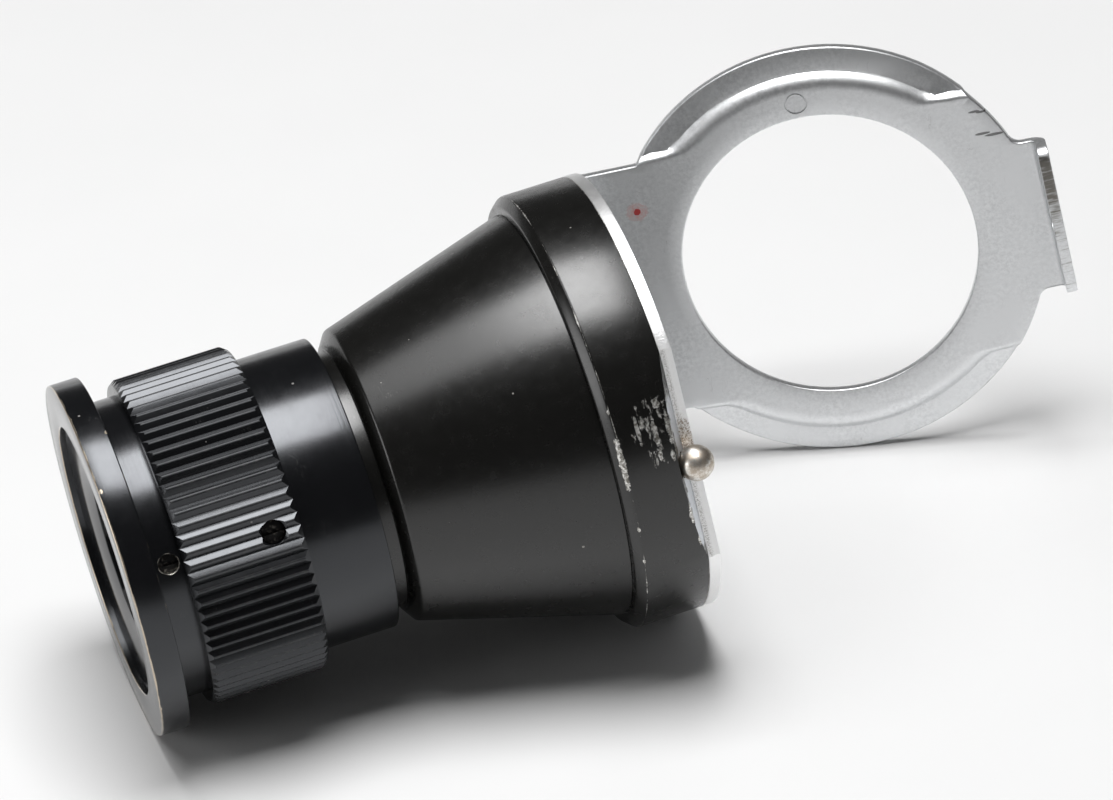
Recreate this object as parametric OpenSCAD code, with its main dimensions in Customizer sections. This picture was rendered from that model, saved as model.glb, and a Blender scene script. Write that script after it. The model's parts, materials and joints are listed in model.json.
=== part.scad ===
// Flip-aside eyepiece magnifier: a tapered focusing barrel hinged on a stamped lug ring.
// It lies on its side with the ring swung open. Sizes are millimetres, +Z is up.
// Pieces are drawn about the barrel axis (local +Z, eyepiece first, flat of the base towards
// local +X) and then laid on the table together.

/* [Eyepiece] */
// Bore of the eyepiece rim and of the sleeve
tube_bore_d = 27; // [24:0.1:31]
// Wall of the neck behind the flange
neck_wall = 1.4; // [1.2:0.05:2]
// How far the flange stands out from the neck
flange_out = 2.78; // [1.8:0.02:4]
// Thickness of the eyepiece flange
flange_t = 2.87; // [2:0.01:4]
// Chamfer on the flange's edges
flange_chamfer = 0.2; // [0.1:0.05:0.6]
// Length of neck that shows between flange and grip ring
neck_show = 2.87; // [2.2:0.05:5]
// Length of neck inside the grip ring
neck_seat = 2.5; // [1.5:0.1:3]
// Depth of the lens cell's edge behind the flange's front
cell_recess = 0.65; // [0.55:0.05:1.5]
// Depth of the lens cell's dished front, from its edge to its opening
cell_dish = 0.95; // [0.3:0.05:1.5]
// Diameter of the opening over the eye lens
eye_open_d = 16.4; // [12:0.1:20]

/* [Grip ring] */
// Wall of the grip ring over the neck, ribs included
grip_wall = 1.42; // [1.2:0.02:2.4]
// Length of the grip ring
grip_len = 11.67; // [11.2:0.05:16]
// Number of ribs
rib_count = 79; // [40:1:90]
// Depth of the grooves between the ribs
rib_depth = 0.35; // [0.2:0.05:0.7]
// Length of the bevel at each end of the ribs
rib_bevel = 0.5; // [0.2:0.05:1]
// Distance of the stop screws from the grip ring's front
stop_screw_at = 8.97; // [8.9:0.05:9.2]
// Axial travel of the eyepiece each way
focus_travel = 1.5; // [0.5:0.1:1.6]

/* [Sleeve and cone] */
// Wall of the sleeve
sleeve_wall = 1.12; // [1:0.02:1.3]
// Length of sleeve that shows behind the grip ring
sleeve_show = 7.67; // [7:0.05:14]
// Depth of the waist between sleeve and cone, below the sleeve's bore
waist_cut = 0.55; // [0.3:0.05:1]
// Length of the waist
waist_len = 1.43; // [0.8:0.05:3]
// How far the cone's flat nose stands out from the waist
nose_out = 0.55; // [0.3:0.05:1]
// Length of the bevel from nose to cone
nose_bevel = 0.85; // [0.3:0.05:1.5]
// How far the cone's small end stands out from the sleeve
cone_out = 0.15; // [0:0.05:0.6]
// How far the cone's large end stays inside the base ring's edge
cone_inset = 1.6; // [1.3:0.05:2.4]
// Length of the cone
cone_len = 19.45; // [15:0.05:30]
// Wall of the cone
cone_wall = 2; // [1.2:0.1:2.6]

/* [Base] */
// Diameter of the base ring and its plate
base_d = 44; // [40:0.1:52]
// Length of the bevel at the base ring's front
base_bevel = 0.9; // [0.4:0.05:1.5]
// Length of the base ring behind the bevel
base_len = 6.34; // [6:0.02:10]
// Thickness of the hinge plate on the base
plate_t = 1.23; // [1:0.01:1.8]
// Width of the hinge plate between opening and edge
plate_band = 6.8; // [6:0.1:8]
// Depth of the flat below the base ring's edge
flat_depth = 2.89; // [1.8:0.01:3.4]
// Length of the bevel that the flat leaves on the base ring
flat_bevel = 1.28; // [0.6:0.02:2]
// Distance of the hinge plate's screws from its edge
screw_inset = 3.5; // [3.2:0.1:3.8]
// Diameter of the hinge plate screws
screw_d = 1.6; // [1.2:0.1:1.8]

/* [Lenses] */
// Edge thickness of the lenses
lens_edge = 1.8; // [1.2:0.1:2.4]
// Radius of the flatter lens faces
lens_flat_r = 80; // [60:1:150]
// Radius of the steeper lens faces
lens_steep_r = 60; // [45:1:120]
// How far the objective lens reaches past the plate's opening
objective_over = 0.8; // [0.5:0.1:1.2]

/* [Lug ring] */
// How far the lug ring's edge stays inside the base ring's
ring_inset = 0.28; // [0:0.02:1]
// Width of the lug ring between opening and edge
ring_band = 6.82; // [6:0.02:8]
// Thickness of the sheet
sheet_t = 1.1; // [0.8:0.05:1.4]
// Depth of the step that sets the lugs back
lug_step = 1.03; // [0.6:0.01:1.4]
// Distance of the step's start from the ring's edge
lug_w = 3.47; // [3:0.01:4]
// Radial width of the step
step_w = 1.3; // [0.8:0.05:1.8]
// Half height of the hinge tab
hinge_tab_h = 13.4; // [11:0.1:14]
// Half height of the catch tab
catch_tab_h = 7.97; // [6:0.05:10]
// Offset of the catch along the hinge, towards the table
catch_shift = 0.4; // [0:0.05:1]
// Gap between the catch lip's inner face and the base ring's edge when closed
lip_gap = 0.45; // [0.4:0.01:0.6]
// Height of the catch lip above the ring's face
lip_len = 3.6; // [3.3:0.05:5]
// Outward lean of the catch lip in degrees
lip_lean = 3.5; // [2.5:0.1:6]
// Inner radius of the lip's bend
lip_bend = 0.5; // [0.3:0.05:0.8]
// Fillet where the tabs leave the ring
tab_fillet = 1.2; // [0.6:0.1:2]
// Diameter of the small ring mark on the upper web
mark_d = 2.3; // [1.5:0.1:2.6]

/* [Hinge and catch] */
// Distance of the hinge pin from the base ring's edge
hinge_out = 3.9; // [3.4:0.05:6]
// Distance of the hinge pin behind the hinge plate
hinge_drop = 0.8; // [0.6:0.05:1]
// Gap between hinge plate and closed ring
closed_gap = 1.2; // [1.1:0.05:1.6]
// Diameter of the hinge pin
pin_d = 1.8; // [1.2:0.1:2]
// Outer diameter of the hinge knuckles
knuckle_d = 3.8; // [3.6:0.05:4]
// Half length of the ring's middle knuckle
mid_knuckle_h = 7; // [4:0.1:9]
// Diameter of the catch ball
ball_d = 3.5; // [3:0.05:3.6]
// How far the ball's centre stands off the flat
ball_off = 1.79; // [1.7:0.01:1.85]
// Angle to which the ring is swung open
open_angle = 73.1; // [40:0.1:100]

/* [Fits] */
// Radial clearance of pieces that turn or slide
run_fit = 0.08; // [0.05:0.01:0.1]
// Radial clearance of pieces that are screwed or pressed together
seat_fit = 0.02; // [0.01:0.01:0.05]

/* [Hidden] */
$fn = 96;
// How far cuts run past a face, and how far joined shapes reach into each other
past = 1;
overlap = 0.1;

// Radii
bore_r = tube_bore_d / 2;
neck_r = bore_r + neck_wall;
flange_r = neck_r + flange_out;
grip_r = neck_r + grip_wall;
root_r = grip_r - rib_depth;
sleeve_r = bore_r + sleeve_wall;
waist_r = bore_r - waist_cut;
nose_r = waist_r + nose_out;
cone_r = sleeve_r + cone_out;
base_r = base_d / 2;
cone_end_r = base_r - cone_inset;
shoulder_r = base_r - base_bevel * 0.9;
plate_opening_r = base_r - plate_band;
flat_at = base_r - flat_depth;
ring_r = base_r - ring_inset;
ring_opening_r = ring_r - ring_band;
step_r = ring_r - lug_w;
lip_at = base_r + lip_gap;
hinge_at = base_r + hinge_out;
ball_r = ball_d / 2;
knuckle_r = knuckle_d / 2;

// Stations along the barrel axis, from the flange's front face
grip_s = flange_t + neck_show;
neck_end_s = grip_s + neck_seat;
grip_end_s = grip_s + grip_len;
sleeve_end_s = grip_end_s + sleeve_show;
nose_s = sleeve_end_s + waist_len;
cone_s = nose_s + nose_bevel;
shoulder_s = cone_s + cone_len;
base_s = shoulder_s + base_bevel;
plate_s = base_s + base_len;
face_s = plate_s + plate_t;
hinge_s = face_s + hinge_drop;
ring_s = face_s + closed_gap;

// Screws of the focusing head: dog points run in grooves of the pieces inside
screw_turn = -14;
set_screw_r = 1;
set_dog_r = 0.5;
set_screw_s = flange_t + neck_show * 0.55;
stop_screw_r = 1.2;
stop_sink_r = 1.5;
stop_dog_r = 0.7;
stop_screw_s = grip_s + stop_screw_at;
dog_depth = 0.5;
set_screw_sunk = 0.6;
stop_screw_sunk = 1;
slot_w = 0.4;
slot_depth = 0.35;
head_screw_count = 3;

// Lens cell and what it holds
cell_r = bore_r - run_fit;
cell_wall = 1;
cell_bore_r = cell_r - cell_wall;
cell_front_t = 0.5;
eye_open_r = eye_open_d / 2;
eye_lens_s = cell_recess + cell_dish + cell_front_t;
inner_lens_r = cell_bore_r - seat_fit;
spacer_s = eye_lens_s + lens_edge;
spacer_len = 3.6;
spacer_w = 0.8;
inner_lens_s = spacer_s + spacer_len;
retainer_s = inner_lens_s + lens_edge;
retainer_len = 1.4;
groove_w = 2 * (set_dog_r + run_fit);
key_r = 0.75;
key_reach = 0.45;
key_gap = 0.1;
key_wall = 0.5;
key_s = stop_screw_s + 2 * stop_dog_r + 2 * focus_travel + key_wall;
cell_end_s = key_s + key_r + key_wall;

// Sleeve: its front clears the neck at full travel, its recess stops the screws
end_gap = 0.4;
stop_slack = 0.15;
sleeve_s = neck_end_s + focus_travel + end_gap;
recess_half = stop_dog_r + focus_travel + stop_slack;
key_slot_half = key_r + focus_travel + stop_slack;
spigot_s = cell_end_s + focus_travel + end_gap;

// Cone and base
tail_step = 1.4;
tail_len = 3.9;
lens_seat_t = 0.5;
lens_seat_w = 1;
tail_r = cone_end_r - tail_step;
tail_s = shoulder_s + tail_len;
cone_bore_r = waist_r - cone_wall * 0.68;
tail_bore_r = tail_r - cone_wall * 0.8;
lens_seat_s = tail_s + lens_seat_t;
objective_r = plate_opening_r + objective_over;
objective_seat_r = objective_r - lens_seat_w;
objective_edge = lens_edge * 0.7;
screw_head_r = screw_d * 0.95;
screw_len = 4;
screw_tip_gap = 0.2;
plate_screw_count = 4;
ball_shank_r = plate_t * 0.28;
ball_shank_len = 2.6;
ball_relief = 0.15;
knuckle_gap = 0.3;
knuckle_short = 0.9;
knuckle_end_h = hinge_tab_h - knuckle_short;
tab_gap = 0.6;

// Placing on the table: the flange's rim, the base ring's rim and the lower lug touch it
tilt = atan((base_r - flange_r) / (base_s - flange_chamfer));
along = [cos(tilt), 0, sin(tilt)];
above = [-sin(tilt), 0, cos(tilt)];
axis_z = flange_r * cos(tilt) - flange_chamfer * sin(tilt);
eye = [0, 0, axis_z];
function flat_dir(roll) = cos(roll) * [0, 1, 0] + sin(roll) * above;
function cross_dir(roll) = cross(along, flat_dir(roll));
function ring_u(roll) = cos(open_angle) * flat_dir(roll) + sin(open_angle) * along;
function ring_w(roll) = cos(open_angle) * along - sin(open_angle) * flat_dir(roll);
function hinge_pos(roll) = eye + hinge_s * along - hinge_at * flat_dir(roll);
function ring_point(roll, u, w) = hinge_pos(roll) + (hinge_at + u) * ring_u(roll)
    + (ring_s - hinge_s + w) * ring_w(roll);
function lug_z(roll) = ring_point(roll, 0, lug_step + sheet_t)[2]
    - ring_r * norm([ring_u(roll)[2], cross_dir(roll)[2]]);
function settle(low, high, n) = let (mid = (low + high) / 2)
    n == 0 ? mid : lug_z(mid) > 0 ? settle(low, mid, n - 1) : settle(mid, high, n - 1);
roll_low = 140;
roll_high = 190;
roll = settle(roll_low, roll_high, 40);

// Middle of the laid part, so that the origin is under its box's centre
lip_out = lip_at + sheet_t;
lip_round = lip_bend + sheet_t;
lip_edge = ring_point(roll, lip_out - lip_round, sheet_t - lip_round)
    + (catch_tab_h + catch_shift) * cross_dir(roll);
x_low = min(-(flange_r - flange_chamfer) * sin(tilt),
    flange_chamfer * cos(tilt) - flange_r * sin(tilt));
x_high = lip_edge[0] + lip_round * norm([ring_u(roll)[0], ring_w(roll)[0]]);
ball_s = plate_s + plate_t / 2;
ball_pos = eye + ball_s * along + (flat_at + ball_off) * flat_dir(roll)
    + catch_shift * cross_dir(roll);
y_low = min(-base_r, ball_pos[1] - ball_r);
cross_y = abs(cross_dir(roll)[1]);
y_high = hinge_pos(roll)[1] + knuckle_end_h * cross_y + knuckle_r * sqrt(1 - cross_y * cross_y);
middle = [(x_low + x_high) / 2, (y_low + y_high) / 2, 0];

// Lays a piece, drawn about the barrel axis, on the table
module laid() {
    translate(eye - middle) rotate([0, 90 - tilt, 0]) rotate([0, 0, roll + 90]) children();
}

// Swings a piece, drawn with the ring closed, open about the hinge pin
module swung() {
    laid() translate([-hinge_at, 0, hinge_s]) rotate([0, -open_angle, 0])
        translate([hinge_at, 0, -hinge_s]) children();
}

// Turned piece from its half section, points given as [radius, station]
module turned(points) { rotate_extrude() polygon(points); }

// Plain turned ring
module tube(r_out, r_in, s, len) {
    translate([0, 0, s]) difference() {
        cylinder(r = r_out, h = len);
        translate([0, 0, -past]) cylinder(r = r_in, h = len + 2 * past);
    }
}

// Puts a radial feature at a station, its own +Z pointing outwards
module radial(s, turn) { translate([0, 0, s]) rotate([0, 0, turn]) rotate([0, 90, 0]) children(); }

// The head's screws, spaced evenly round the barrel
module head_radial(s) {
    for (i = [0 : head_screw_count - 1]) radial(s, screw_turn + i * 360 / head_screw_count) children();
}

// Slotted grub screw with a dog point, from its point's radius to its head's
module grub_screw(body_r, dog_r, point_at, body_at, head_at) {
    difference() {
        union() {
            translate([0, 0, point_at]) cylinder(r = dog_r, h = body_at - point_at + overlap, $fn = 32);
            translate([0, 0, body_at]) cylinder(r = body_r, h = head_at - body_at, $fn = 32);
        }
        translate([-body_r * 2, -slot_w / 2, head_at - slot_depth])
            cube([body_r * 4, slot_w, slot_depth * 2]);
    }
}

// Face of a lens from its edge to its middle, as [radius, height of the bulge]
lens_parts = 8;
function lens_face(r, face_r) = [for (i = [lens_parts : -1 : 0]) let (x = r * i / lens_parts)
    [x, sqrt(face_r * face_r - x * x) - sqrt(face_r * face_r - r * r)]];

// Lens blank with a ground edge and a flat seat; the radii bulge its faces inside the seat
module lens(r, s, edge, seat, front_r, rear_r) {
    front = lens_face(r - seat, front_r);
    rear = lens_face(r - seat, rear_r);
    turned(concat([[r, s]], [for (i = [0 : lens_parts]) [front[i][0], s - front[i][1]]],
        [for (i = [lens_parts : -1 : 0]) [rear[i][0], s + edge + rear[i][1]]], [[r, s + edge]]));
}

module eyepiece_rim() {
    c = flange_chamfer;
    color("#1b1c20") laid() difference() {
        turned([[bore_r, 0], [flange_r - c, 0], [flange_r, c], [flange_r, flange_t - c],
            [flange_r - c, flange_t], [neck_r, flange_t], [neck_r, neck_end_s],
            [bore_r, neck_end_s]]);
        head_radial(set_screw_s) cylinder(r = set_screw_r, h = neck_r + past, $fn = 32);
    }
}

module rim_set_screws() {
    color("#8d8f92") laid() head_radial(set_screw_s)
        grub_screw(set_screw_r - seat_fit, set_dog_r, cell_r - dog_depth + run_fit, bore_r + run_fit,
            neck_r - set_screw_sunk);
}

// Ribs as one prism, cut back by a bevel at both ends
module ribbed_blank() {
    rise = rib_bevel * (rib_depth + overlap) / rib_depth;
    rib_edges = [[0.03, root_r], [0.46, grip_r], [0.54, grip_r], [0.97, root_r]];
    pitch = 360 / rib_count;
    intersection() {
        translate([0, 0, grip_s]) linear_extrude(grip_len)
            polygon([for (i = [0 : rib_count - 1]) for (e = rib_edges)
                e[1] * [cos(pitch * (i + e[0])), sin(pitch * (i + e[0]))]]);
        turned([[0, grip_s], [root_r, grip_s], [grip_r + overlap, grip_s + rise],
            [grip_r + overlap, grip_end_s - rise], [root_r, grip_end_s], [0, grip_end_s]]);
    }
}

module focus_grip() {
    sink = stop_sink_r - stop_screw_r;
    color("#202126") laid() difference() {
        ribbed_blank();
        translate([0, 0, grip_s - past])
            cylinder(r = neck_r + seat_fit, h = neck_seat + past + seat_fit);
        translate([0, 0, grip_s]) cylinder(r = sleeve_r + run_fit, h = grip_len + past);
        head_radial(stop_screw_s) {
            cylinder(r = stop_screw_r, h = grip_r + past, $fn = 32);
            translate([0, 0, grip_r - sink])
                cylinder(r1 = stop_screw_r, r2 = stop_sink_r + sink, h = 2 * sink, $fn = 32);
        }
    }
}

module focus_stop_screws() {
    color("#5d5f63") laid() head_radial(stop_screw_s)
        grub_screw(stop_screw_r - seat_fit, stop_dog_r, sleeve_r - dog_depth + run_fit,
            sleeve_r + run_fit, grip_r - stop_screw_sunk);
}

module lens_cell() {
    half = groove_w / 2;
    color("#17171a") laid() difference() {
        turned([[eye_open_r, cell_recess + cell_dish], [cell_r, cell_recess],
            [cell_r, set_screw_s - half],
            [cell_r - dog_depth, set_screw_s - half], [cell_r - dog_depth, set_screw_s + half],
            [cell_r, set_screw_s + half], [cell_r, cell_end_s], [cell_bore_r, cell_end_s],
            [cell_bore_r, eye_lens_s], [eye_open_r, eye_lens_s]]);
        radial(key_s, 90) cylinder(r = key_r, h = cell_r + past, $fn = 32);
    }
}

// The eye lens bears on the back of the cell's dished front and bulges into its opening
module eye_lens() {
    rear_s = eye_lens_s + lens_edge;
    front = lens_face(eye_open_r - run_fit, lens_flat_r);
    rear = lens_face(inner_lens_r - spacer_w, lens_steep_r);
    color("#b9c6cc", 0.4) laid()
        turned(concat([[inner_lens_r, eye_lens_s]], [for (p = front) [p[0], eye_lens_s - p[1]]],
            [for (i = [lens_parts : -1 : 0]) [rear[i][0], rear_s + rear[i][1]]],
            [[inner_lens_r, rear_s]]));
}

module lens_spacer() {
    color("#232326") laid() tube(inner_lens_r, inner_lens_r - spacer_w, spacer_s, spacer_len);
}

module inner_lens() {
    color("#b9c6cc", 0.4) laid()
        lens(inner_lens_r, inner_lens_s, lens_edge, spacer_w, lens_steep_r, lens_flat_r);
}

module cell_retainer() {
    color("#232326") laid() tube(inner_lens_r, inner_lens_r - spacer_w, retainer_s, retainer_len);
}

module guide_key() {
    color("#b59a56") laid() radial(key_s, 90) translate([0, 0, cell_bore_r + key_gap])
        cylinder(r = key_r - seat_fit, h = cell_r + key_reach - cell_bore_r - key_gap, $fn = 32);
}

module sleeve() {
    floor_r = sleeve_r - dog_depth;
    color("#1e1f24") laid() difference() {
        turned([[bore_r, sleeve_s], [sleeve_r, sleeve_s], [sleeve_r, stop_screw_s - recess_half],
            [floor_r, stop_screw_s - recess_half], [floor_r, stop_screw_s + recess_half],
            [sleeve_r, stop_screw_s + recess_half], [sleeve_r, sleeve_end_s],
            [bore_r, sleeve_end_s]]);
        translate([-key_r - run_fit, 0, key_s - key_slot_half])
            cube([2 * (key_r + run_fit), cell_r + key_reach + run_fit, 2 * key_slot_half]);
    }
}

module cone_body() {
    spigot_r = bore_r - seat_fit;
    color("#201f1e") laid()
        turned([[cone_bore_r, spigot_s], [spigot_r, spigot_s], [spigot_r, sleeve_end_s],
            [waist_r, sleeve_end_s], [waist_r, nose_s], [nose_r, nose_s], [cone_r, cone_s],
            [cone_end_r, shoulder_s], [tail_r, shoulder_s], [tail_r, tail_s], [tail_bore_r, tail_s],
            [tail_bore_r, shoulder_s], [cone_bore_r, cone_s]]);
}

// Cuts everything beyond the flat of the base, leaning back over the base ring
module flat_cut() {
    lean = atan2(base_r - flat_at, flat_bevel);
    translate([flat_at, 0, plate_s]) rotate([0, 90 - lean, 0]) translate([-base_r, -base_r, 0])
        cube([3 * base_r, 2 * base_r, base_r]);
}

// Places something at each screw of the hinge plate
module at_plate_screws() {
    for (i = [0 : plate_screw_count - 1]) rotate([0, 0, 45 + i * 360 / plate_screw_count])
        translate([base_r - screw_inset, 0, 0]) children();
}

// Puts something at the middle of the catch ball
module at_ball() { translate([flat_at + ball_off, catch_shift, ball_s]) children(); }

module base_ring() {
    hole_r = screw_d / 2 + seat_fit;
    color("#201f1e") laid() difference() {
        turned([[tail_r + seat_fit, shoulder_s], [shoulder_r, shoulder_s], [base_r, base_s],
            [base_r, plate_s], [objective_r + seat_fit, plate_s],
            [objective_r + seat_fit, lens_seat_s], [objective_seat_r, lens_seat_s],
            [objective_seat_r, tail_s + seat_fit], [tail_r + seat_fit, tail_s + seat_fit]]);
        flat_cut();
        at_ball() sphere(r = ball_r + ball_relief);
        at_plate_screws() translate([0, 0, face_s - screw_len])
            cylinder(r = hole_r, h = screw_len, $fn = 32);
    }
}

module objective_lens() {
    color("#b9c6cc", 0.4) laid()
        lens(objective_r, lens_seat_s, objective_edge, lens_seat_w, lens_flat_r * 2, lens_flat_r * 3);
}

module objective_retainer() {
    s = lens_seat_s + objective_edge;
    color("#232326") laid() tube(objective_r, objective_seat_r, s, plate_s - s);
}

// Hinge knuckle about the pin, between two heights along the hinge
module knuckle(from, to) {
    translate([-hinge_at, from, hinge_s]) rotate([-90, 0, 0]) cylinder(r = knuckle_r, h = to - from);
}

module pin_bore(r) {
    translate([-hinge_at, -2 * hinge_tab_h, hinge_s]) rotate([-90, 0, 0])
        cylinder(r = r, h = 4 * hinge_tab_h, $fn = 48);
}

module hinge_plate() {
    knuckle_from = mid_knuckle_h + knuckle_gap;
    tongue_w = knuckle_end_h - knuckle_from;
    color("#b7b8ba") laid() difference() {
        union() {
            intersection() {
                translate([0, 0, plate_s]) cylinder(r = base_r, h = plate_t);
                translate([flat_at - 2 * base_d, -base_d, plate_s])
                    cube([2 * base_d, 2 * base_d, plate_t]);
            }
            for (side = [-1, 1]) {
                middle_y = side * (knuckle_from + tongue_w / 2);
                translate([-hinge_at, middle_y - tongue_w / 2, plate_s])
                    cube([hinge_at - plate_opening_r, tongue_w, plate_t]);
                knuckle(middle_y - tongue_w / 2, middle_y + tongue_w / 2);
            }
        }
        translate([0, 0, plate_s - past]) cylinder(r = plate_opening_r, h = plate_t + 2 * past);
        pin_bore(pin_d / 2 + seat_fit);
        at_plate_screws() {
            translate([0, 0, plate_s - past])
                cylinder(r = screw_d / 2 + seat_fit, h = plate_t + 2 * past, $fn = 32);
            translate([0, 0, face_s - screw_head_r + screw_d / 2])
                cylinder(r1 = screw_d / 2 + seat_fit, r2 = screw_head_r + seat_fit,
                    h = screw_head_r - screw_d / 2, $fn = 32);
        }
        translate([flat_at, catch_shift, ball_s]) rotate([0, -90, 0])
            cylinder(r = ball_shank_r + seat_fit, h = ball_shank_len + seat_fit, $fn = 32);
    }
}

module plate_screws() {
    head_h = screw_head_r - screw_d / 2;
    color("#9a9b9d") laid() at_plate_screws() difference() {
        union() {
            translate([0, 0, face_s - screw_len + screw_tip_gap])
                cylinder(r = screw_d / 2, h = screw_len - screw_tip_gap, $fn = 32);
            translate([0, 0, face_s - head_h])
                cylinder(r1 = screw_d / 2, r2 = screw_head_r, h = head_h, $fn = 32);
        }
        translate([-screw_head_r * 2, -slot_w / 2, face_s - slot_depth])
            cube([screw_head_r * 4, slot_w, slot_depth * 2]);
    }
}

module catch_ball() {
    color("#c9c7c2") laid() at_ball() {
        sphere(r = ball_r);
        rotate([0, -90, 0]) cylinder(r = ball_shank_r, h = ball_off + ball_shank_len, $fn = 32);
    }
}

module hinge_pin() {
    head_r = pin_d * 0.75;
    head_t = 0.4;
    color("#a9aaac") laid() translate([-hinge_at, 0, hinge_s]) rotate([-90, 0, 0]) {
        translate([0, 0, -knuckle_end_h - head_t])
            cylinder(r = pin_d / 2, h = 2 * (knuckle_end_h + head_t), $fn = 48);
        for (side = [-1, 1])
            translate([0, 0, side * (knuckle_end_h + seat_fit + head_t / 2) - head_t / 2])
                cylinder(r = head_r, h = head_t, $fn = 48);
    }
}

// Half section of the step, as [distance across it, depth], eased at both bends
function eased(t) = t * t * (3 - 2 * t);
step_parts = 6;
step_gap = 0.2;
function step_line(from) = [for (i = [0 : step_parts]) let (t = i / step_parts)
    [from + step_w * t, lug_step * eased(t)]];

// Everything behind the ring's front face, which steps back at the two lugs
module behind_face(offset) {
    deep = 10;
    half = step_line(hinge_tab_h + step_gap);
    translate([0, 0, ring_s + offset]) {
        turned(concat([[0, deep], [0, 0]], step_line(step_r), [[base_d, lug_step], [base_d, deep]]));
        rotate([90, 0, 90]) linear_extrude(2 * base_d, center = true)
            polygon(concat([[-base_d, deep], [-base_d, lug_step]],
                [for (i = [step_parts : -1 : 0]) [-half[i][0], half[i][1]]], half,
                [[base_d, lug_step], [base_d, deep]]));
    }
}

// Concave fillet between the ring's edge and a tab's straight edge at height h
module edge_fillet(h) {
    f = tab_fillet;
    centre = [sqrt(pow(ring_r + f, 2) - pow(h + f, 2)), h + f];
    difference() {
        polygon([[sqrt(ring_r * ring_r - h * h) - f, h - f], [centre[0], h], centre,
            centre * (ring_r - overlap) / (ring_r + f)]);
        translate(centre) circle(r = f);
    }
}

// Flat outline of the ring, its hinge tab to the left and its catch tab to the right
module ring_outline() {
    tab_end = hinge_at - knuckle_r - tab_gap;
    circle(r = ring_r);
    translate([-tab_end, -hinge_tab_h]) square([tab_end, 2 * hinge_tab_h]);
    translate([-hinge_at, -mid_knuckle_h]) square([hinge_at, 2 * mid_knuckle_h]);
    for (side = [0, 1]) mirror([0, side]) mirror([1, 0]) edge_fillet(hinge_tab_h);
    translate([0, catch_shift - catch_tab_h]) square([lip_at - lip_bend, 2 * catch_tab_h]);
    edge_fillet(catch_tab_h + catch_shift);
    mirror([0, 1]) edge_fillet(catch_tab_h - catch_shift);
}

// Catch lip: an outline across the bend, drawn out along the hinge
module catch_lip() {
    bend_parts = 6;
    bend = [lip_at - lip_bend, -lip_bend];
    turn = 90 - lip_lean;
    reach = lip_len - lip_bend;
    tip = [sin(lip_lean), -cos(lip_lean)] * reach;
    inner = [for (i = [0 : bend_parts]) bend + lip_bend
        * [sin(turn * i / bend_parts), cos(turn * i / bend_parts)]];
    outer = [for (i = [bend_parts : -1 : 0]) bend + lip_round
        * [sin(turn * i / bend_parts), cos(turn * i / bend_parts)]];
    translate([0, catch_shift + catch_tab_h, ring_s]) rotate([90, 0, 0]) linear_extrude(2 * catch_tab_h)
        polygon(concat(inner, [inner[bend_parts] + tip, outer[0] + tip], outer));
}

module lug_ring() {
    mark_at = (ring_opening_r + step_r) / 2;
    mark_w = 0.18;
    mark_depth = 0.12;
    ball_hole_r = ball_r * 0.71;
    color("#a8a9ab") swung() difference() {
        union() {
            intersection() {
                translate([0, 0, ring_s]) linear_extrude(lug_step + sheet_t) ring_outline();
                difference() {
                    behind_face(0);
                    behind_face(sheet_t);
                }
            }
            catch_lip();
            knuckle(-mid_knuckle_h, mid_knuckle_h);
        }
        translate([0, 0, ring_s - past]) cylinder(r = ring_opening_r, h = sheet_t + 2 * past);
        pin_bore(pin_d / 2 + run_fit * 0.6);
        translate([lip_at - past, catch_shift, ball_s]) rotate([0, 90, 0])
            cylinder(r = ball_hole_r, h = sheet_t + 3 * past, $fn = 48);
        translate([0, -mark_at, ring_s - past]) difference() {
            cylinder(r = mark_d / 2, h = past + mark_depth, $fn = 48);
            cylinder(r = mark_d / 2 - mark_w, h = 2 * past + mark_depth, $fn = 48);
        }
    }
}

eyepiece_rim();
rim_set_screws();
focus_grip();
focus_stop_screws();
lens_cell();
eye_lens();
lens_spacer();
inner_lens();
cell_retainer();
guide_key();
sleeve();
cone_body();
base_ring();
objective_lens();
objective_retainer();
hinge_plate();
plate_screws();
catch_ball();
hinge_pin();
lug_ring();
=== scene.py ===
"""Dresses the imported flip-aside eyepiece magnifier for its studio picture.

Pieces are drawn in millimetres about the barrel axis (+Z away from the eye, +X towards the flat
of the base, +Y down) or about the middle of the lug ring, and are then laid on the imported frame.
"""

import json
import math

import bmesh
import bpy
from bmesh.types import BMEdge, BMVert
from mathutils import Matrix, Vector


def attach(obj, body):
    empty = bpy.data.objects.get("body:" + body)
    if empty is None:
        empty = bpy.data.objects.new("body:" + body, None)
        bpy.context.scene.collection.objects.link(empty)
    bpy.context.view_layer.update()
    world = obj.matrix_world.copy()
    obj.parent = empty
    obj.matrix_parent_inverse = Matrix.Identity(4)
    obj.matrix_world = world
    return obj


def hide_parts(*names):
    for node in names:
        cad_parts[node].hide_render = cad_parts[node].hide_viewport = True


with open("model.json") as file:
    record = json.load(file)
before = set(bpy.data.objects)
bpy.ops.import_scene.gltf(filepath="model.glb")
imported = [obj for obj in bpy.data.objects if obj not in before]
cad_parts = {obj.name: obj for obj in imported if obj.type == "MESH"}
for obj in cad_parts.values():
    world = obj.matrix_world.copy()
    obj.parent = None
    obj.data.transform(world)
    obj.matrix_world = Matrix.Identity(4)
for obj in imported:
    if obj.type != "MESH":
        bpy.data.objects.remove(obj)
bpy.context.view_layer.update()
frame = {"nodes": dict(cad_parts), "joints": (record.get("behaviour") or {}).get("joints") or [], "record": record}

# Lengths are in millimetres and turns in degrees
MM = 0.001
FIT = 0.02
RUNNING_FIT = 0.08

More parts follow.
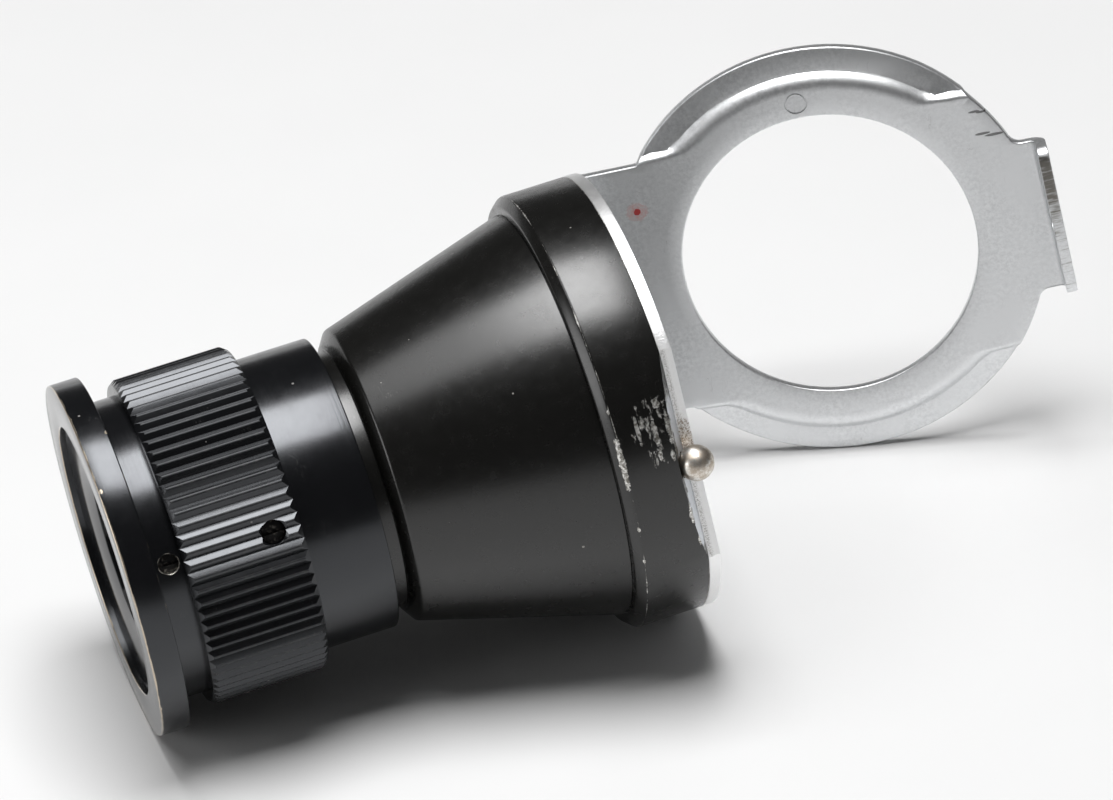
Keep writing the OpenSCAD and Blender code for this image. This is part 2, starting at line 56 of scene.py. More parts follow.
# Eyepiece rim, lens cell and grip ring
BORE_R = 13.5
NECK_R = BORE_R + 1.4
FLANGE_R = NECK_R + 2.78
FLANGE_T = 2.87
NECK_GAP = 2.87
GRIP_S = FLANGE_T + NECK_GAP
NECK_END_S = GRIP_S + 2.5
GRIP_END_S = GRIP_S + 11.67
GRIP_R = NECK_R + 1.42
RIB_COUNT = 79
RIB_FLANK = 34
RIB_ROUND = 0.25
RIB_BEVEL = 0.55
CELL_S = 0.65
CELL_R = BORE_R - RUNNING_FIT
CELL_BORE_R = CELL_R - 1
CELL_DISH = 0.95
CELL_FRONT_T = 0.5
CELL_END_S = 20.86
EYE_OPEN_R = 8.2
LENS_EDGE = 1.8
LENS_FLAT_R = 80
LENS_STEEP_R = 60
SPACER_LEN = 3.6
SPACER_W = 0.8

# Screws of the focusing head
SET_SCREW_S = FLANGE_T + NECK_GAP * 0.55
SET_SCREW_R = 1.0
SET_DOG_R = 0.5
SET_SUNK = 0.6
STOP_SCREW_S = GRIP_S + 8.97
STOP_SCREW_R = 1.2
STOP_SINK_R = 1.5
STOP_DOG_R = 0.7
STOP_SUNK = 1.0
DOG_REACH = 0.42
HEAD_SCREW_COUNT = 3
HEAD_SCREW_TURN = -14
SLOT_W = 0.4
SLOT_DEPTH = 0.35

# Sleeve, cone and base
SLEEVE_R = BORE_R + 1.12
SLEEVE_S = 10.14
SLEEVE_END_S = GRIP_END_S + 7.67
RECESS_HALF = 2.35
WAIST_R = BORE_R - 0.55
NOSE_R = WAIST_R + 0.55
NOSE_S = SLEEVE_END_S + 1.43
CONE_R = SLEEVE_R + 0.15
CONE_S = NOSE_S + 0.85
SPIGOT_S = 22.8
BASE_R = 22.0
CONE_END_R = BASE_R - 1.6
SHOULDER_R = BASE_R - 0.81
SHOULDER_S = CONE_S + 19.45
TAIL_R = CONE_END_R - 1.4
TAIL_S = SHOULDER_S + 3.9
CONE_BORE_R = WAIST_R - 1.36
TAIL_BORE_R = TAIL_R - 1.6
BASE_S = SHOULDER_S + 0.9
PLATE_S = BASE_S + 6.34
PLATE_T = 1.23
FACE_S = PLATE_S + PLATE_T
PLATE_OPENING_R = BASE_R - 6.8
FLAT_AT = BASE_R - 2.89
FLAT_BEVEL = 1.28
OBJECTIVE_R = PLATE_OPENING_R + 0.8
OBJECTIVE_FACE_R = OBJECTIVE_R - 1
OBJECTIVE_S = TAIL_S + 0.5
OBJECTIVE_EDGE = LENS_EDGE * 0.7
PLATE_SCREW_R = 0.8
PLATE_SCREW_HEAD_R = 1.52
PLATE_SCREW_AT = BASE_R - 3.5
PLATE_SCREW_LEN = 3.8
PLATE_SCREW_COUNT = 4

# Hinge and catch
HINGE_AT = BASE_R + 3.9
HINGE_S = FACE_S + 0.8
PIN_R = 0.9
SHEET_END = -HINGE_AT + PIN_R + 0.5
KNUCKLE_R = 1.9
MID_KNUCKLE_H = 7.0
KNUCKLE_GAP = 0.3
BALL_R = 1.75
BALL_AT = FLAT_AT + 1.79
BALL_S = PLATE_S + PLATE_T / 2
BALL_FOOT = 4.39
CATCH_SHIFT = 0.4

# Lug ring, from its front face
RING_S = FACE_S + 1.2
RING_R = BASE_R - 0.28
RING_OPENING_R = RING_R - 6.82
SHEET_T = 1.1
LUG_STEP = 1.15
STEP_R = RING_R - 3.47
ROLL_R = STEP_R - 0.75
STEP_W = 2.2
STEP_END_W = 0.85
WALL_DEPTH = 0.93
END_DEPTH = 0.65
LEAN_R = ROLL_R + STEP_W - 0.1
RING_EDGE = 0.18
LIP_EDGE = 0.1
HINGE_TAB_H = 13.4
KNUCKLE_END_H = HINGE_TAB_H - 0.9
TAB_END = HINGE_AT - KNUCKLE_R - 0.6
STEP_FROM_H = HINGE_TAB_H + FIT
CATCH_TAB_H = 7.97
LIP_AT = BASE_R + 0.45
LIP_BEND = 0.5
LIP_LEN = 3.6
LIP_LEAN = 3.5
LIP_BOW = 0.5
LIP_CORNER = 1.1
TAB_FILLET = 0.84
MARK_AT = (RING_OPENING_R + STEP_R) / 2
MARK_R = 1.15
MARK_W = 0.22
MARK_DEPTH = 0.16

# Marks of use: chips and nicks as (station, turn about the axis, reach), places on the lug ring
BASE_CHIPS = [(52.2, -18, (0.5, 0.5, 0.32)), (49.8, -12.3, (1, 1.3, 0.2)), (51.4, -10.8, (1, 1.3, 0.25)),
              (52.8, -11, (1, 1.6, 0.3)), (51.3, -5, (0.6, 0.5, 0.2)), (52.5, -4, (0.6, 0.7, 0.2)),
              (47.6, -6, (1.2, 2.6, 0.3)), (53, 13, (1, 1.3, 0.22)), (53.4, 22, (1, 0.7, 0.15)),
              (47.7, 13, (0.5, 0.3, 0.16)), (47.7, 23.5, (0.5, 0.25, 0.12)), (47.6, -19, (0.5, 0.25, 0.12))]
HEAD_NICKS = [(0.05, -73, (0.4, 0.3, 0.14)), (0.05, -67, (0.5, 0.3, 0.12)), (0.3, -43, (0.3, 0.25, 0.14)),
              (2.75, -62.7, (0.2, 0.15, 0.14)), (0.05, 36, (0.3, 0.5, 0.16)), (0.05, 46, (0.4, 0.6, 0.14))]
RED_DOT = (-18, -8.6, 0)
# Creases: small dents on the lug ring, darkened in the ring's colour as painted shade
CREASES = [((17.2, -11.85, 0), (0.6, 0.13, 1)), ((17.9, -11.7, 0), (0.6, 0.12, 1)),
           ((17.6, -9.4, 0), (0.8, 0.14, 1)), ((18.7, -9.1, 0), (1.0, 0.15, 1))]

# Fineness of the meshes
TURN_STEPS = 160
SMALL_STEPS = 40
ROUND_SEGMENTS = 3
RIB_PARTS = 24
LENS_STEPS = 12
STEP_PARTS = 16
BEND_STEPS = 6
CORNER_PARTS = (0.05, 0.15, 0.3, 0.5, 0.75, 1)
NO_DOUBLES = 1e-4
LINES_APART = 0.04


# Places on the frame

def joint(name):
    return next(j for j in frame["joints"] if j["name"] == name)


AXIS = Vector(joint("focus_turn")["axis"]).normalized()
DOWN = -Vector(joint("ring_hinge")["axis"]).normalized()
FLAT = DOWN.cross(AXIS)
EYE = Vector(joint("focus_turn")["pos_m"]) - FLANGE_T * MM * AXIS
OPEN_ANGLE = math.radians(-joint("ring_hinge")["range_deg"][0])

TURN = Matrix((FLAT, DOWN, AXIS)).transposed()
BARREL = Matrix.Translation(EYE) @ TURN.to_4x4() @ Matrix.Scale(MM, 4)
HINGE = Matrix.Translation((-HINGE_AT, 0, HINGE_S))
ON_PIN = HINGE @ Matrix.Rotation(-math.pi / 2, 4, "X")
SWING = HINGE @ Matrix.Rotation(-OPEN_ANGLE, 4, "Y") @ HINGE.inverted()
RING = BARREL @ SWING @ Matrix.Translation((0, 0, RING_S))

BODY_OF = {n: body for body, nodes in frame["record"]["behaviour"]["bodies"].items() for n in nodes}


# Shapes

def radius(v):
    return math.hypot(v.co.x, v.co.y)


def everything(bm):
    return bm.verts[:] + bm.edges[:] + bm.faces[:]


def of_kind(geom, kind):
    return [g for g in geom if isinstance(g, kind)]


def closed_up(bm):
    bmesh.ops.remove_doubles(bm, verts=bm.verts[:], dist=NO_DOUBLES)
    bmesh.ops.recalc_face_normals(bm, faces=bm.faces[:])
    return bm


def moved(bm, matrix):
    bmesh.ops.transform(bm, matrix=matrix, verts=bm.verts[:])
    return bm


def spun(bm, steps):
    bmesh.ops.spin(bm, geom=bm.verts[:] + bm.edges[:], cent=(0, 0, 0), axis=(0, 0, 1),
                   angle=2 * math.pi, steps=steps, use_merge=True)
    return closed_up(bm)


def repeated(bm, count):
    """Copies what is there to evenly spaced places round +Z."""
    step = 2 * math.pi / count
    bmesh.ops.spin(bm, geom=everything(bm), cent=(0, 0, 0), axis=(0, 0, 1),
                   angle=step * (count - 1), steps=count - 1, use_duplicate=True)
    return bm


def chain(bm, points, closed=False):
    """Line of edges through (radius, station) points, and its vertices."""
    verts = [bm.verts.new((r, 0, s)) for r, s in points]
    for i, v in enumerate(verts):
        if closed or i:
            bm.edges.new((verts[i - 1], v))
    return verts


def turned(points, closed=True, steps=TURN_STEPS):
    """Solid of revolution about +Z; points are (radius, station, rounding of that corner)."""
    bm = bmesh.new()
    corners = chain(bm, [p[:2] for p in points], closed)
    for corner, (_, _, rounding) in zip(corners, points):
        if rounding:
            bmesh.ops.bevel(bm, geom=[corner], offset=rounding, offset_type="OFFSET",
                            segments=ROUND_SEGMENTS, profile=0.5, affect="VERTICES", material=-1)
    return spun(bm, steps)


def arc(bm, start, centre_s, degrees):
    """Bends an arc off a section's point, about a point of the axis, and returns its end."""
    made = bmesh.ops.spin(bm, geom=[start], cent=(0, 0, centre_s), axis=(0, 1, 0),
                          angle=math.radians(degrees), steps=LENS_STEPS)
    return of_kind(made["geom_last"], BMVert)[0]


def lens(points, front_r, rear_r):
    """Lens turned from its edge's points; the radii bulge the faces inside the first and last."""
    bm = bmesh.new()
    edge = chain(bm, points)
    for corner, face_r, way in ((edge[0], front_r, 1), (edge[-1], rear_r, -1)):
        depth = math.sqrt(face_r ** 2 - corner.co.x ** 2)
        swing = math.degrees(math.asin(corner.co.x / face_r))
        arc(bm, corner, corner.co.z + way * depth, way * swing)
    return spun(bm, TURN_STEPS)


def bevelled(bm, edges, size, segments=2):
    bmesh.ops.bevel(bm, geom=edges, offset=size, offset_type="OFFSET", segments=segments,
                    profile=0.5, affect="EDGES", material=-1)
    return bm


def sharp_edges(bm, degrees, concave=False):
    limit = math.radians(degrees)
    way = -1 if concave else 1
    return [e for e in bm.edges if e.is_manifold and way * e.calc_face_angle_signed() > limit]


def scratch_object(bm):
    mesh = bpy.data.meshes.new("scratch")
    bm.to_mesh(mesh)
    bm.free()
    obj = bpy.data.objects.new("scratch", mesh)
    bpy.context.scene.collection.objects.link(obj)
    return obj


def combined(bm, other, operation="DIFFERENCE"):
    """Cuts another shape out of this one, or joins the two into one skin."""
    body, tool = scratch_object(bm), scratch_object(other)
    change = body.modifiers.new("change", "BOOLEAN")
    change.object = tool
    change.operation = operation
    change.solver = "EXACT"
    result = bmesh.new()
    result.from_object(body, bpy.context.evaluated_depsgraph_get())
    for obj in (body, tool):
        bpy.data.meshes.remove(obj.data)
    return result


def round_head(bm, station):
    """Turns a shape drawn about its own +Z outwards, to the head's screw places."""
    moved(bm, Matrix.Rotation(math.radians(HEAD_SCREW_TURN), 4, "Z")
          @ Matrix.Translation((0, 0, station)) @ Matrix.Rotation(math.pi / 2, 4, "Y"))
    return repeated(bm, HEAD_SCREW_COUNT)


def slotted(bm, length, low):
    """Cuts a driver slot along X across the top of a screw, down to a height."""
    slot = bmesh.new()
    bmesh.ops.create_cube(slot, size=1)
    deep = 4.0
    moved(slot, Matrix.Translation((0, 0, low + deep / 2)) @ Matrix.Diagonal((length, SLOT_W, deep, 1)))
    return combined(bm, slot)


def dressed(bm, node, material, placing=BARREL, smooth=35):
    """Makes a bmesh the piece that stands for a CAD node, on that node's body."""
    moved(bm, placing)
    mesh = bpy.data.meshes.new(node + ".dressed")
    bm.to_mesh(mesh)
    bm.free()
    mesh.shade_smooth()
    mesh.set_sharp_from_angle(angle=math.radians(smooth))
    mesh.materials.append(material)
    piece = bpy.data.objects.new(mesh.name, mesh)
    bpy.context.scene.collection.objects.link(piece)
    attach(piece, BODY_OF[node])
    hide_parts(node)
    return piece


# Materials

def fed(tree, node, inputs):
    """Gives a node's inputs their values, or links them to other nodes' outputs."""
    for key, value in dict(inputs).items():
        if isinstance(value, bpy.types.NodeSocket):
            tree.links.new(value, node.inputs[key])
        else:
            node.inputs[key].default_value = value
    return node


def add(tree, kind, inputs, **settings):
    node = tree.nodes.new("ShaderNode" + kind)
    for name, value in settings.items():
        setattr(node, name, value)
    return fed(tree, node, inputs)


def calc(tree, operation, *values):
    return add(tree, "Math", enumerate(values), operation=operation).outputs[0]


def plus(tree, one, other):
    return calc(tree, "ADD", one, other)


def minus(tree, one, other):
    return calc(tree, "SUBTRACT", one, other)


def times(tree, one, other):
    return calc(tree, "MULTIPLY", one, other)


def distance(tree, along, across):
    return calc(tree, "SQRT", plus(tree, times(tree, along, along), times(tree, across, across)))


def eased(tree, value, low, high):
    """Smooth step from 0 at low to 1 at high; low may be the larger."""
    return add(tree, "MapRange", {"Value": value, "From Min": low, "From Max": high},
               interpolation_type="SMOOTHSTEP").outputs[0]


def ranged(tree, value, low, high):
    """A share from 0 to 1 as a number from low to high."""
    return add(tree, "MapRange", {"Value": value, "To Min": low, "To Max": high}).outputs[0]


def noise(tree, place, scale, detail=3.0, roughness=0.55):
    return add(tree, "TexNoise", {"Vector": place, "Scale": scale, "Detail": detail,
                                  "Roughness": roughness}).outputs[0]


def stretched(tree, place, scales):
    return add(tree, "VectorMath", {0: place, 1: scales}, operation="MULTIPLY").outputs[0]


def blend(tree, share, one, other):
    """Colour that goes from one to the other as a share goes from 0 to 1."""
    one, other = (c if isinstance(c, bpy.types.NodeSocket) else (*c, 1) for c in (one, other))
    return add(tree, "Mix", {0: share, 6: one, 7: other}, data_type="RGBA").outputs[2]


def strongest(tree, masks):
    mask = masks[0]
    for other in masks[1:]:
        mask = calc(tree, "MAXIMUM", mask, other)
    return mask


def bumped(tree, height, depth):
    """Normal of a surface that rises by a height from 0 to 1, over a depth in millimetres."""
    return add(tree, "Bump", {"Height": height, "Strength": 1, "Distance": depth * MM}).outputs[0]


def new_group(name, inputs, outputs):
    tree = bpy.data.node_groups.new(name, "ShaderNodeTree")
    for way, sockets in (("INPUT", inputs), ("OUTPUT", outputs)):
        for socket, kind in sockets.items():
            tree.interface.new_socket(socket, in_out=way, socket_type="NodeSocket" + kind)
    return tree, tree.nodes.new("NodeGroupInput").outputs, tree.nodes.new("NodeGroupOutput")


def use(tree, group, **inputs):
    node = tree.nodes.new("ShaderNodeGroup")
    node.node_tree = group
    named = {name.replace("_", " "): value for name, value in inputs.items()}
    return list(fed(tree, node, named).outputs[:])


def place_group(name, placing):
    """Point of the surface in millimetres, with its station along an axis and radius from it."""
    tree, _, result = new_group(name, {}, {"place": "Vector", "station": "Float", "radius": "Float"})
    location, turn, scale = placing.decompose()
    spot = tree.nodes.new("ShaderNodeTexCoord").outputs["Object"]
    place = add(tree, "Mapping", {"Vector": spot, "Location": location, "Rotation": turn.to_euler(),
                                  "Scale": scale}, vector_type="TEXTURE").outputs[0]
    station = add(tree, "SeparateXYZ", {0: place}).outputs[2]
    across = stretched(tree, place, (1, 1, 0))
    radial = add(tree, "VectorMath", {0: across}, operation="LENGTH").outputs[1]
    fed(tree, result, {"place": place, "station": station, "radius": radial})
    return tree


def worn_edge_group():
    """Broken line of wear along a turned edge."""
    tree, given, result = new_group(
        "worn edge", {"place": "Vector", "station": "Float", "radius": "Float", "edge station": "Float",
                      "edge radius": "Float", "width": "Float", "share": "Float"}, {"mask": "Float"})
    along = minus(tree, given["station"], given["edge station"])
    across = minus(tree, given["radius"], given["edge radius"])
    away = distance(tree, along, across)
    patchy = plus(tree, noise(tree, given["place"], 0.35, 6, 0.7), given["share"])
    reach = times(tree, given["width"], eased(tree, patchy, 0.85, 1.25))
    fed(tree, result, {"mask": eased(tree, away, reach, times(tree, reach, 0.5))})
    return tree


def hole_rim_group():
    """Worn rim round the focusing head's screw holes."""
    tree, given, result = new_group(
        "hole rim", {"place": "Vector", "station": "Float", "radius": "Float", "hole station": "Float",
                     "hole radius": "Float", "width": "Float"}, {"mask": "Float"})
    x, y, _ = add(tree, "SeparateXYZ", {0: given["place"]}).outputs
    half = math.pi / HEAD_SCREW_COUNT
    angle = minus(tree, calc(tree, "ARCTAN2", y, x), math.radians(HEAD_SCREW_TURN))
    sine = calc(tree, "SINE", calc(tree, "WRAP", angle, half, -half))
    aside = times(tree, given["radius"], sine)
    along = minus(tree, given["station"], given["hole station"])
    away = distance(tree, along, aside)
    ring = calc(tree, "ABSOLUTE", minus(tree, away, given["hole radius"]))
    reach = times(tree, given["width"], eased(tree, noise(tree, given["place"], 1.1, 4), 0.35, 0.6))
    fed(tree, result, {"mask": eased(tree, ring, reach, times(tree, reach, 0.5))})
    return tree


def specks_group():
    """Scattered specks: a share of the cells hold one, of a size as a part of the cell."""
    tree, given, result = new_group("specks", {"place": "Vector", "scale": "Float", "size": "Float",
                                               "share": "Float"}, {"mask": "Float"})
    cells = add(tree, "TexVoronoi", {"Vector": given["place"], "Scale": given["scale"]})
    chance = add(tree, "SeparateColor", {0: cells.outputs["Color"]}).outputs
    size = times(tree, given["size"], chance[1])
    dot = eased(tree, cells.outputs["Distance"], size, times(tree, size, 0.6))
    held = calc(tree, "LESS_THAN", chance[0], given["share"])
    fed(tree, result, {"mask": times(tree, dot, held)})
    return tree


def hairlines_group():
    """Fine scratches: thin contours of a stretched noise, left only here and there."""
    tree, given, result = new_group("hairlines", {"place": "Vector", "stretch": "Vector", "width": "Float",
                                                  "share": "Float"}, {"mask": "Float"})
    lines = noise(tree, stretched(tree, given["place"], given["stretch"]), 1.0, 2)
    off = calc(tree, "ABSOLUTE", minus(tree, lines, 0.5))
    line = eased(tree, off, given["width"], 0)
    kept = eased(tree, plus(tree, noise(tree, given["place"], 0.3, 4), given["share"]), 0.95, 1.1)
    fed(tree, result, {"mask": times(tree, line, kept)})
    return tree


def patch_group():
    """One ragged patch about a centre, within a reach along each axis."""
    tree, given, result = new_group("patch", {"place": "Vector", "centre": "Vector", "reach": "Vector",
                                              "ragged": "Float"}, {"mask": "Float"})
    away = add(tree, "VectorMath", {0: given["place"], 1: given["centre"]}, operation="SUBTRACT").outputs[0]
    away = add(tree, "VectorMath", {0: away, 1: given["reach"]}, operation="DIVIDE").outputs[0]
    away = add(tree, "VectorMath", {0: away}, operation="LENGTH").outputs[1]
    uneven = minus(tree, noise(tree, given["place"], 2.2, 5, 0.65), 0.5)
    away = plus(tree, away, times(tree, uneven, given["ragged"]))
    fed(tree, result, {"mask": eased(tree, away, 1.08, 0.86)})
    return tree


barrel_place = place_group("barrel place", BARREL)
ring_place = place_group("ring place", RING)
worn_edge = worn_edge_group()
hole_rim = hole_rim_group()
specks = specks_group()
hairlines = hairlines_group()
patch = patch_group()


def new_material(name):
    material = bpy.data.materials.new(name)
    material.use_nodes = True
    return material, material.node_tree, material.node_tree.nodes["Principled BSDF"]


def edges_worn(tree, spot, edges):
    place, station, radial = spot
    return strongest(tree, [use(tree, worn_edge, place=place, station=station, radius=radial, edge_radius=r,
                                edge_station=s, width=width, share=share)[0]
                            for r, s, width, share in edges])


def on_barrel(r, degrees, s):
    angle = math.radians(degrees)
    return r * math.cos(angle), r * math.sin(angle), s


def marks(tree, place, r, chips):
    return strongest(tree, [use(tree, patch, place=place, centre=on_barrel(r, turn, s), reach=reach,
                                ragged=2.2)[0] for s, turn, reach in chips])


def turned_finish(tree, place, station, crests):
    """Roughness and height of turned black metal: fine rings, a polished front and duller ribs."""
    ringing = noise(tree, stretched(tree, place, (0.05, 0.05, 9)), 1.0, 2)
    grain = noise(tree, place, 9, 3)
    rough = ranged(tree, noise(tree, place, 0.6, 5, 0.65), 0.16, 0.28)
    rough = plus(tree, rough, ranged(tree, ringing, -0.02, 0.02))
    polished = eased(tree, station, 0.2, 0.1)
    rough = minus(tree, rough, times(tree, polished, 0.1))
    rough = plus(tree, rough, times(tree, crests, 0.3))
    return rough, plus(tree, times(tree, ringing, 0.7), times(tree, grain, 0.3))


def black_anodised():
    """Glossy dyed black, duller on the ribs, with brassy worn edges, turned rings and some dust."""
    material, tree, shader = new_material("black anodised")
    spot = place, station, radial = use(tree, barrel_place)
    edges = edges_worn(tree, spot, [(FLANGE_R - 0.05, 0.05, 0.18, 0.64), (BORE_R, 0, 0.16, 0.66),
                                    (FLANGE_R - 0.05, FLANGE_T - 0.05, 0.12, 0.34)])
    rims = use(tree, hole_rim, place=place, station=station, radius=radial, hole_station=SET_SCREW_S,
               hole_radius=SET_SCREW_R - 0.01, width=0.12)[0]
    crests = times(tree, eased(tree, radial, GRIP_R - 0.06, GRIP_R - 0.03),
                   calc(tree, "GREATER_THAN", station, FLANGE_T + 1))
    rubbed = times(tree, crests, eased(tree, noise(tree, place, 1.3, 5, 0.7), 0.46, 0.72))
    dust = use(tree, specks, place=place, scale=0.6, size=0.11, share=0.2)[0]
    lines = use(tree, hairlines, place=place, stretch=(0.8, 0.8, 2.4), width=0.006, share=0.38)[0]
    nicks = strongest(tree, [edges, marks(tree, place, FLANGE_R, HEAD_NICKS)])
    worn = strongest(tree, [nicks, rims])
    pale = strongest(tree, [dust, times(tree, lines, 0.35), times(tree, rubbed, 0.15)])
    dye = blend(tree, noise(tree, place, 0.25, 4), (0.0028, 0.003, 0.0036), (0.005, 0.0052, 0.006))
    bare = blend(tree, rims, (0.5, 0.43, 0.34), (0.72, 0.69, 0.63))
    color = blend(tree, worn, blend(tree, pale, dye, (0.22, 0.21, 0.2)), bare)
    rough, rings = turned_finish(tree, place, station, crests)
    fed(tree, shader, {"Base Color": color, "Metallic": times(tree, worn, 0.8),
                       "Roughness": plus(tree, rough, times(tree, pale, 0.2)),
                       "Specular IOR Level": 0.7, "Specular Tint": (0.92, 0.95, 1, 1),
                       "Normal": bumped(tree, minus(tree, rings, worn), 0.006)})
    return material


def black_enamel():
    """Satin black paint, fine-grained, chipped to bare metal beside the catch."""
    material, tree, shader = new_material("black enamel")
    spot = place, station, _ = use(tree, barrel_place)
    edges = edges_worn(tree, spot, [(BASE_R - 0.05, BASE_S, 0.16, 0.41), (BASE_R, PLATE_S, 0.12, 0.5),
                                    (CONE_R, CONE_S, 0.1, 0.36)])
    chips = marks(tree, place, BASE_R, BASE_CHIPS)
    streaks = noise(tree, stretched(tree, place, (0.6, 0.45, 1.5)), 1.5, 5, 0.6)
    zone = use(tree, patch, place=place, centre=on_barrel(BASE_R, -11.5, 51.3), reach=(3, 3.4, 2.0),
               ragged=1.0)[0]
    flakes = times(tree, eased(tree, streaks, 0.54, 0.64), zone)
    facet = bare_facet(tree, place, station)
    bare = strongest(tree, [edges, chips, flakes, facet])
    dust = use(tree, specks, place=place, scale=0.45, size=0.09, share=0.22)[0]
    lines = use(tree, hairlines, place=place, stretch=(0.7, 0.7, 1.1), width=0.005, share=0.36)[0]
    pale = strongest(tree, [dust, times(tree, lines, 0.3)])
    paint = blend(tree, noise(tree, place, 0.2, 4), (0.003, 0.0029, 0.0025), (0.0055, 0.0053, 0.0047))
    metal = blend(tree, eased(tree, noise(tree, place, 3.2, 5, 0.7), 0.38, 0.62), (0.16, 0.15, 0.13),
                  (0.86, 0.85, 0.82))
    metal = blend(tree, facet, metal, (0.74, 0.77, 0.81))
    color = blend(tree, bare, blend(tree, pale, paint, (0.3, 0.29, 0.27)), metal)
    grain = noise(tree, place, 7, 4, 0.6)
    rough = ranged(tree, noise(tree, place, 0.8, 5, 0.6), 0.2, 0.32)
    height = minus(tree, times(tree, grain, 0.35), bare)
    fed(tree, shader, {"Base Color": color, "Metallic": times(tree, bare, 0.75),
                       "Roughness": plus(tree, rough, times(tree, bare, 0.1)),
                       "Specular IOR Level": 0.68, "Normal": bumped(tree, height, 0.012)})
    return material


def bare_facet(tree, place, station):
    """Strip of the base's slanted facet that the plate has rubbed bare."""
    lean = math.atan2(BASE_R - FLAT_AT, FLAT_BEVEL)
    out = add(tree, "VectorMath", {0: place, 1: (math.cos(lean), 0, math.sin(lean))},
              operation="DOT_PRODUCT").outputs[1]
    face = FLAT_AT * math.cos(lean) + PLATE_S * math.sin(lean)
    on_face = eased(tree, calc(tree, "ABSOLUTE", minus(tree, out, face)), 0.06, 0.03)
    ragged = times(tree, minus(tree, noise(tree, place, 1.2, 5, 0.65), 0.5), 1.2)
    near = eased(tree, plus(tree, station, ragged), PLATE_S - 1.0, PLATE_S - 0.85)
    rubbed = use(tree, patch, place=place, centre=(BALL_AT, CATCH_SHIFT + 1, PLATE_S), reach=(9, 8.5, 9),
                 ragged=0.5)[0]
    return times(tree, on_face, times(tree, near, rubbed))


def dull_plating(name, place_kind, sheared, marked):
    """Tumbled dull plating on sheet steel, torn at its sheared edges and marked by use, with painted shade in the
    ring's creases.
    """
    material, tree, shader = new_material(name)
    spot = use(tree, place_kind)
    place = spot[0]
    mottle = noise(tree, place, 2.2, 6, 0.7)
    grain = noise(tree, place, 9, 3, 0.6)
    dark = use(tree, specks, place=place, scale=0.7, size=0.1, share=0.1)[0]
    lines = use(tree, hairlines, place=place, stretch=(0.8, 0.25, 0.8), width=0.006, share=0.4)[0]
    cut, torn = sheared(tree, spot)
    plate = blend(tree, eased(tree, mottle, 0.3, 0.7), (0.66, 0.67, 0.68), (0.86, 0.87, 0.88))
    plate = blend(tree, eased(tree, noise(tree, place, 0.14, 4), 0.35, 0.7), plate, (0.78, 0.79, 0.8))
    plate = blend(tree, times(tree, lines, 0.4), plate, (0.3, 0.3, 0.3))
    plate = blend(tree, times(tree, dark, 0.6), plate, (0.16, 0.13, 0.1))
    plate = blend(tree, cut, plate, (0.96, 0.96, 0.96))
    plate = blend(tree, torn, plate, (0.19, 0.175, 0.15))
    color, paint, dents_and_painted_shade = marked(tree, place, plate, mottle)
    fine = plus(tree, times(tree, mottle, 0.6), times(tree, grain, 0.4))
    coarse = times(tree, cut, noise(tree, place, 4, 4, 0.7))
    height = plus(tree, fine, times(tree, coarse, 3))
    height = minus(tree, height, strongest(tree, [lines, dents_and_painted_shade]))
    fed(tree, shader, {"Base Color": color, "Metallic": ranged(tree, paint, 1, 0.2),
                       "Roughness": ranged(tree, fine, 0.3, 0.54), "Normal": bumped(tree, height, 0.012)})
    return material


def plate_shear(tree, spot):
    """Cut edges of the plate, and the rough break behind the front of the flat one."""
    place, station, radial = spot
    x = add(tree, "SeparateXYZ", {0: place}).outputs[0]
    flat = eased(tree, x, FLAT_AT - 0.06, FLAT_AT - 0.02)
    cut = strongest(tree, [flat, eased(tree, radial, BASE_R - 0.06, BASE_R - 0.02)])
    off = calc(tree, "ABSOLUTE", minus(tree, station, PLATE_S + PLATE_T * 0.25))
    dots = eased(tree, noise(tree, place, 8, 6, 0.75), 0.4, 0.7)
    torn = times(tree, times(tree, eased(tree, off, 0.4, 0), dots), flat)
    return cut, torn


def plate_marks(tree, place, plate, _):
    """Brown stain on the plate's edge beside the ball."""
    stain = use(tree, patch, place=place, centre=(FLAT_AT, CATCH_SHIFT - 2, BALL_S), reach=(1, 2.4, 0.8),
                ragged=1.6)[0]
    stain = times(tree, stain, eased(tree, noise(tree, place, 6, 5, 0.7), 0.42, 0.66))
    return blend(tree, stain, plate, (0.22, 0.15, 0.09)), times(tree, stain, 0.5), 0.0


def ring_shear(tree, spot):
    """Cut end of the catch lip, streaked across its thickness."""
    place, station, _ = spot
    height = add(tree, "SeparateXYZ", {0: place}).outputs[1]
    aside = calc(tree, "DIVIDE", minus(tree, height, CATCH_SHIFT), CATCH_TAB_H)
    bowed = times(tree, times(tree, aside, aside), LIP_BOW)
    cut = eased(tree, minus(tree, station, bowed), 0.16 - LIP_LEN, 0.08 - LIP_LEN)
    upper = eased(tree, height, CATCH_TAB_H * 0.4, -CATCH_TAB_H * 0.6)
    streaks = noise(tree, stretched(tree, place, (0.3, 2.6, 0.3)), 1.0, 4, 0.65)
    streaks = eased(tree, plus(tree, streaks, times(tree, upper, 0.25)), 0.5, 0.75)
    return 0.0, times(tree, times(tree, streaks, cut), 0.9)


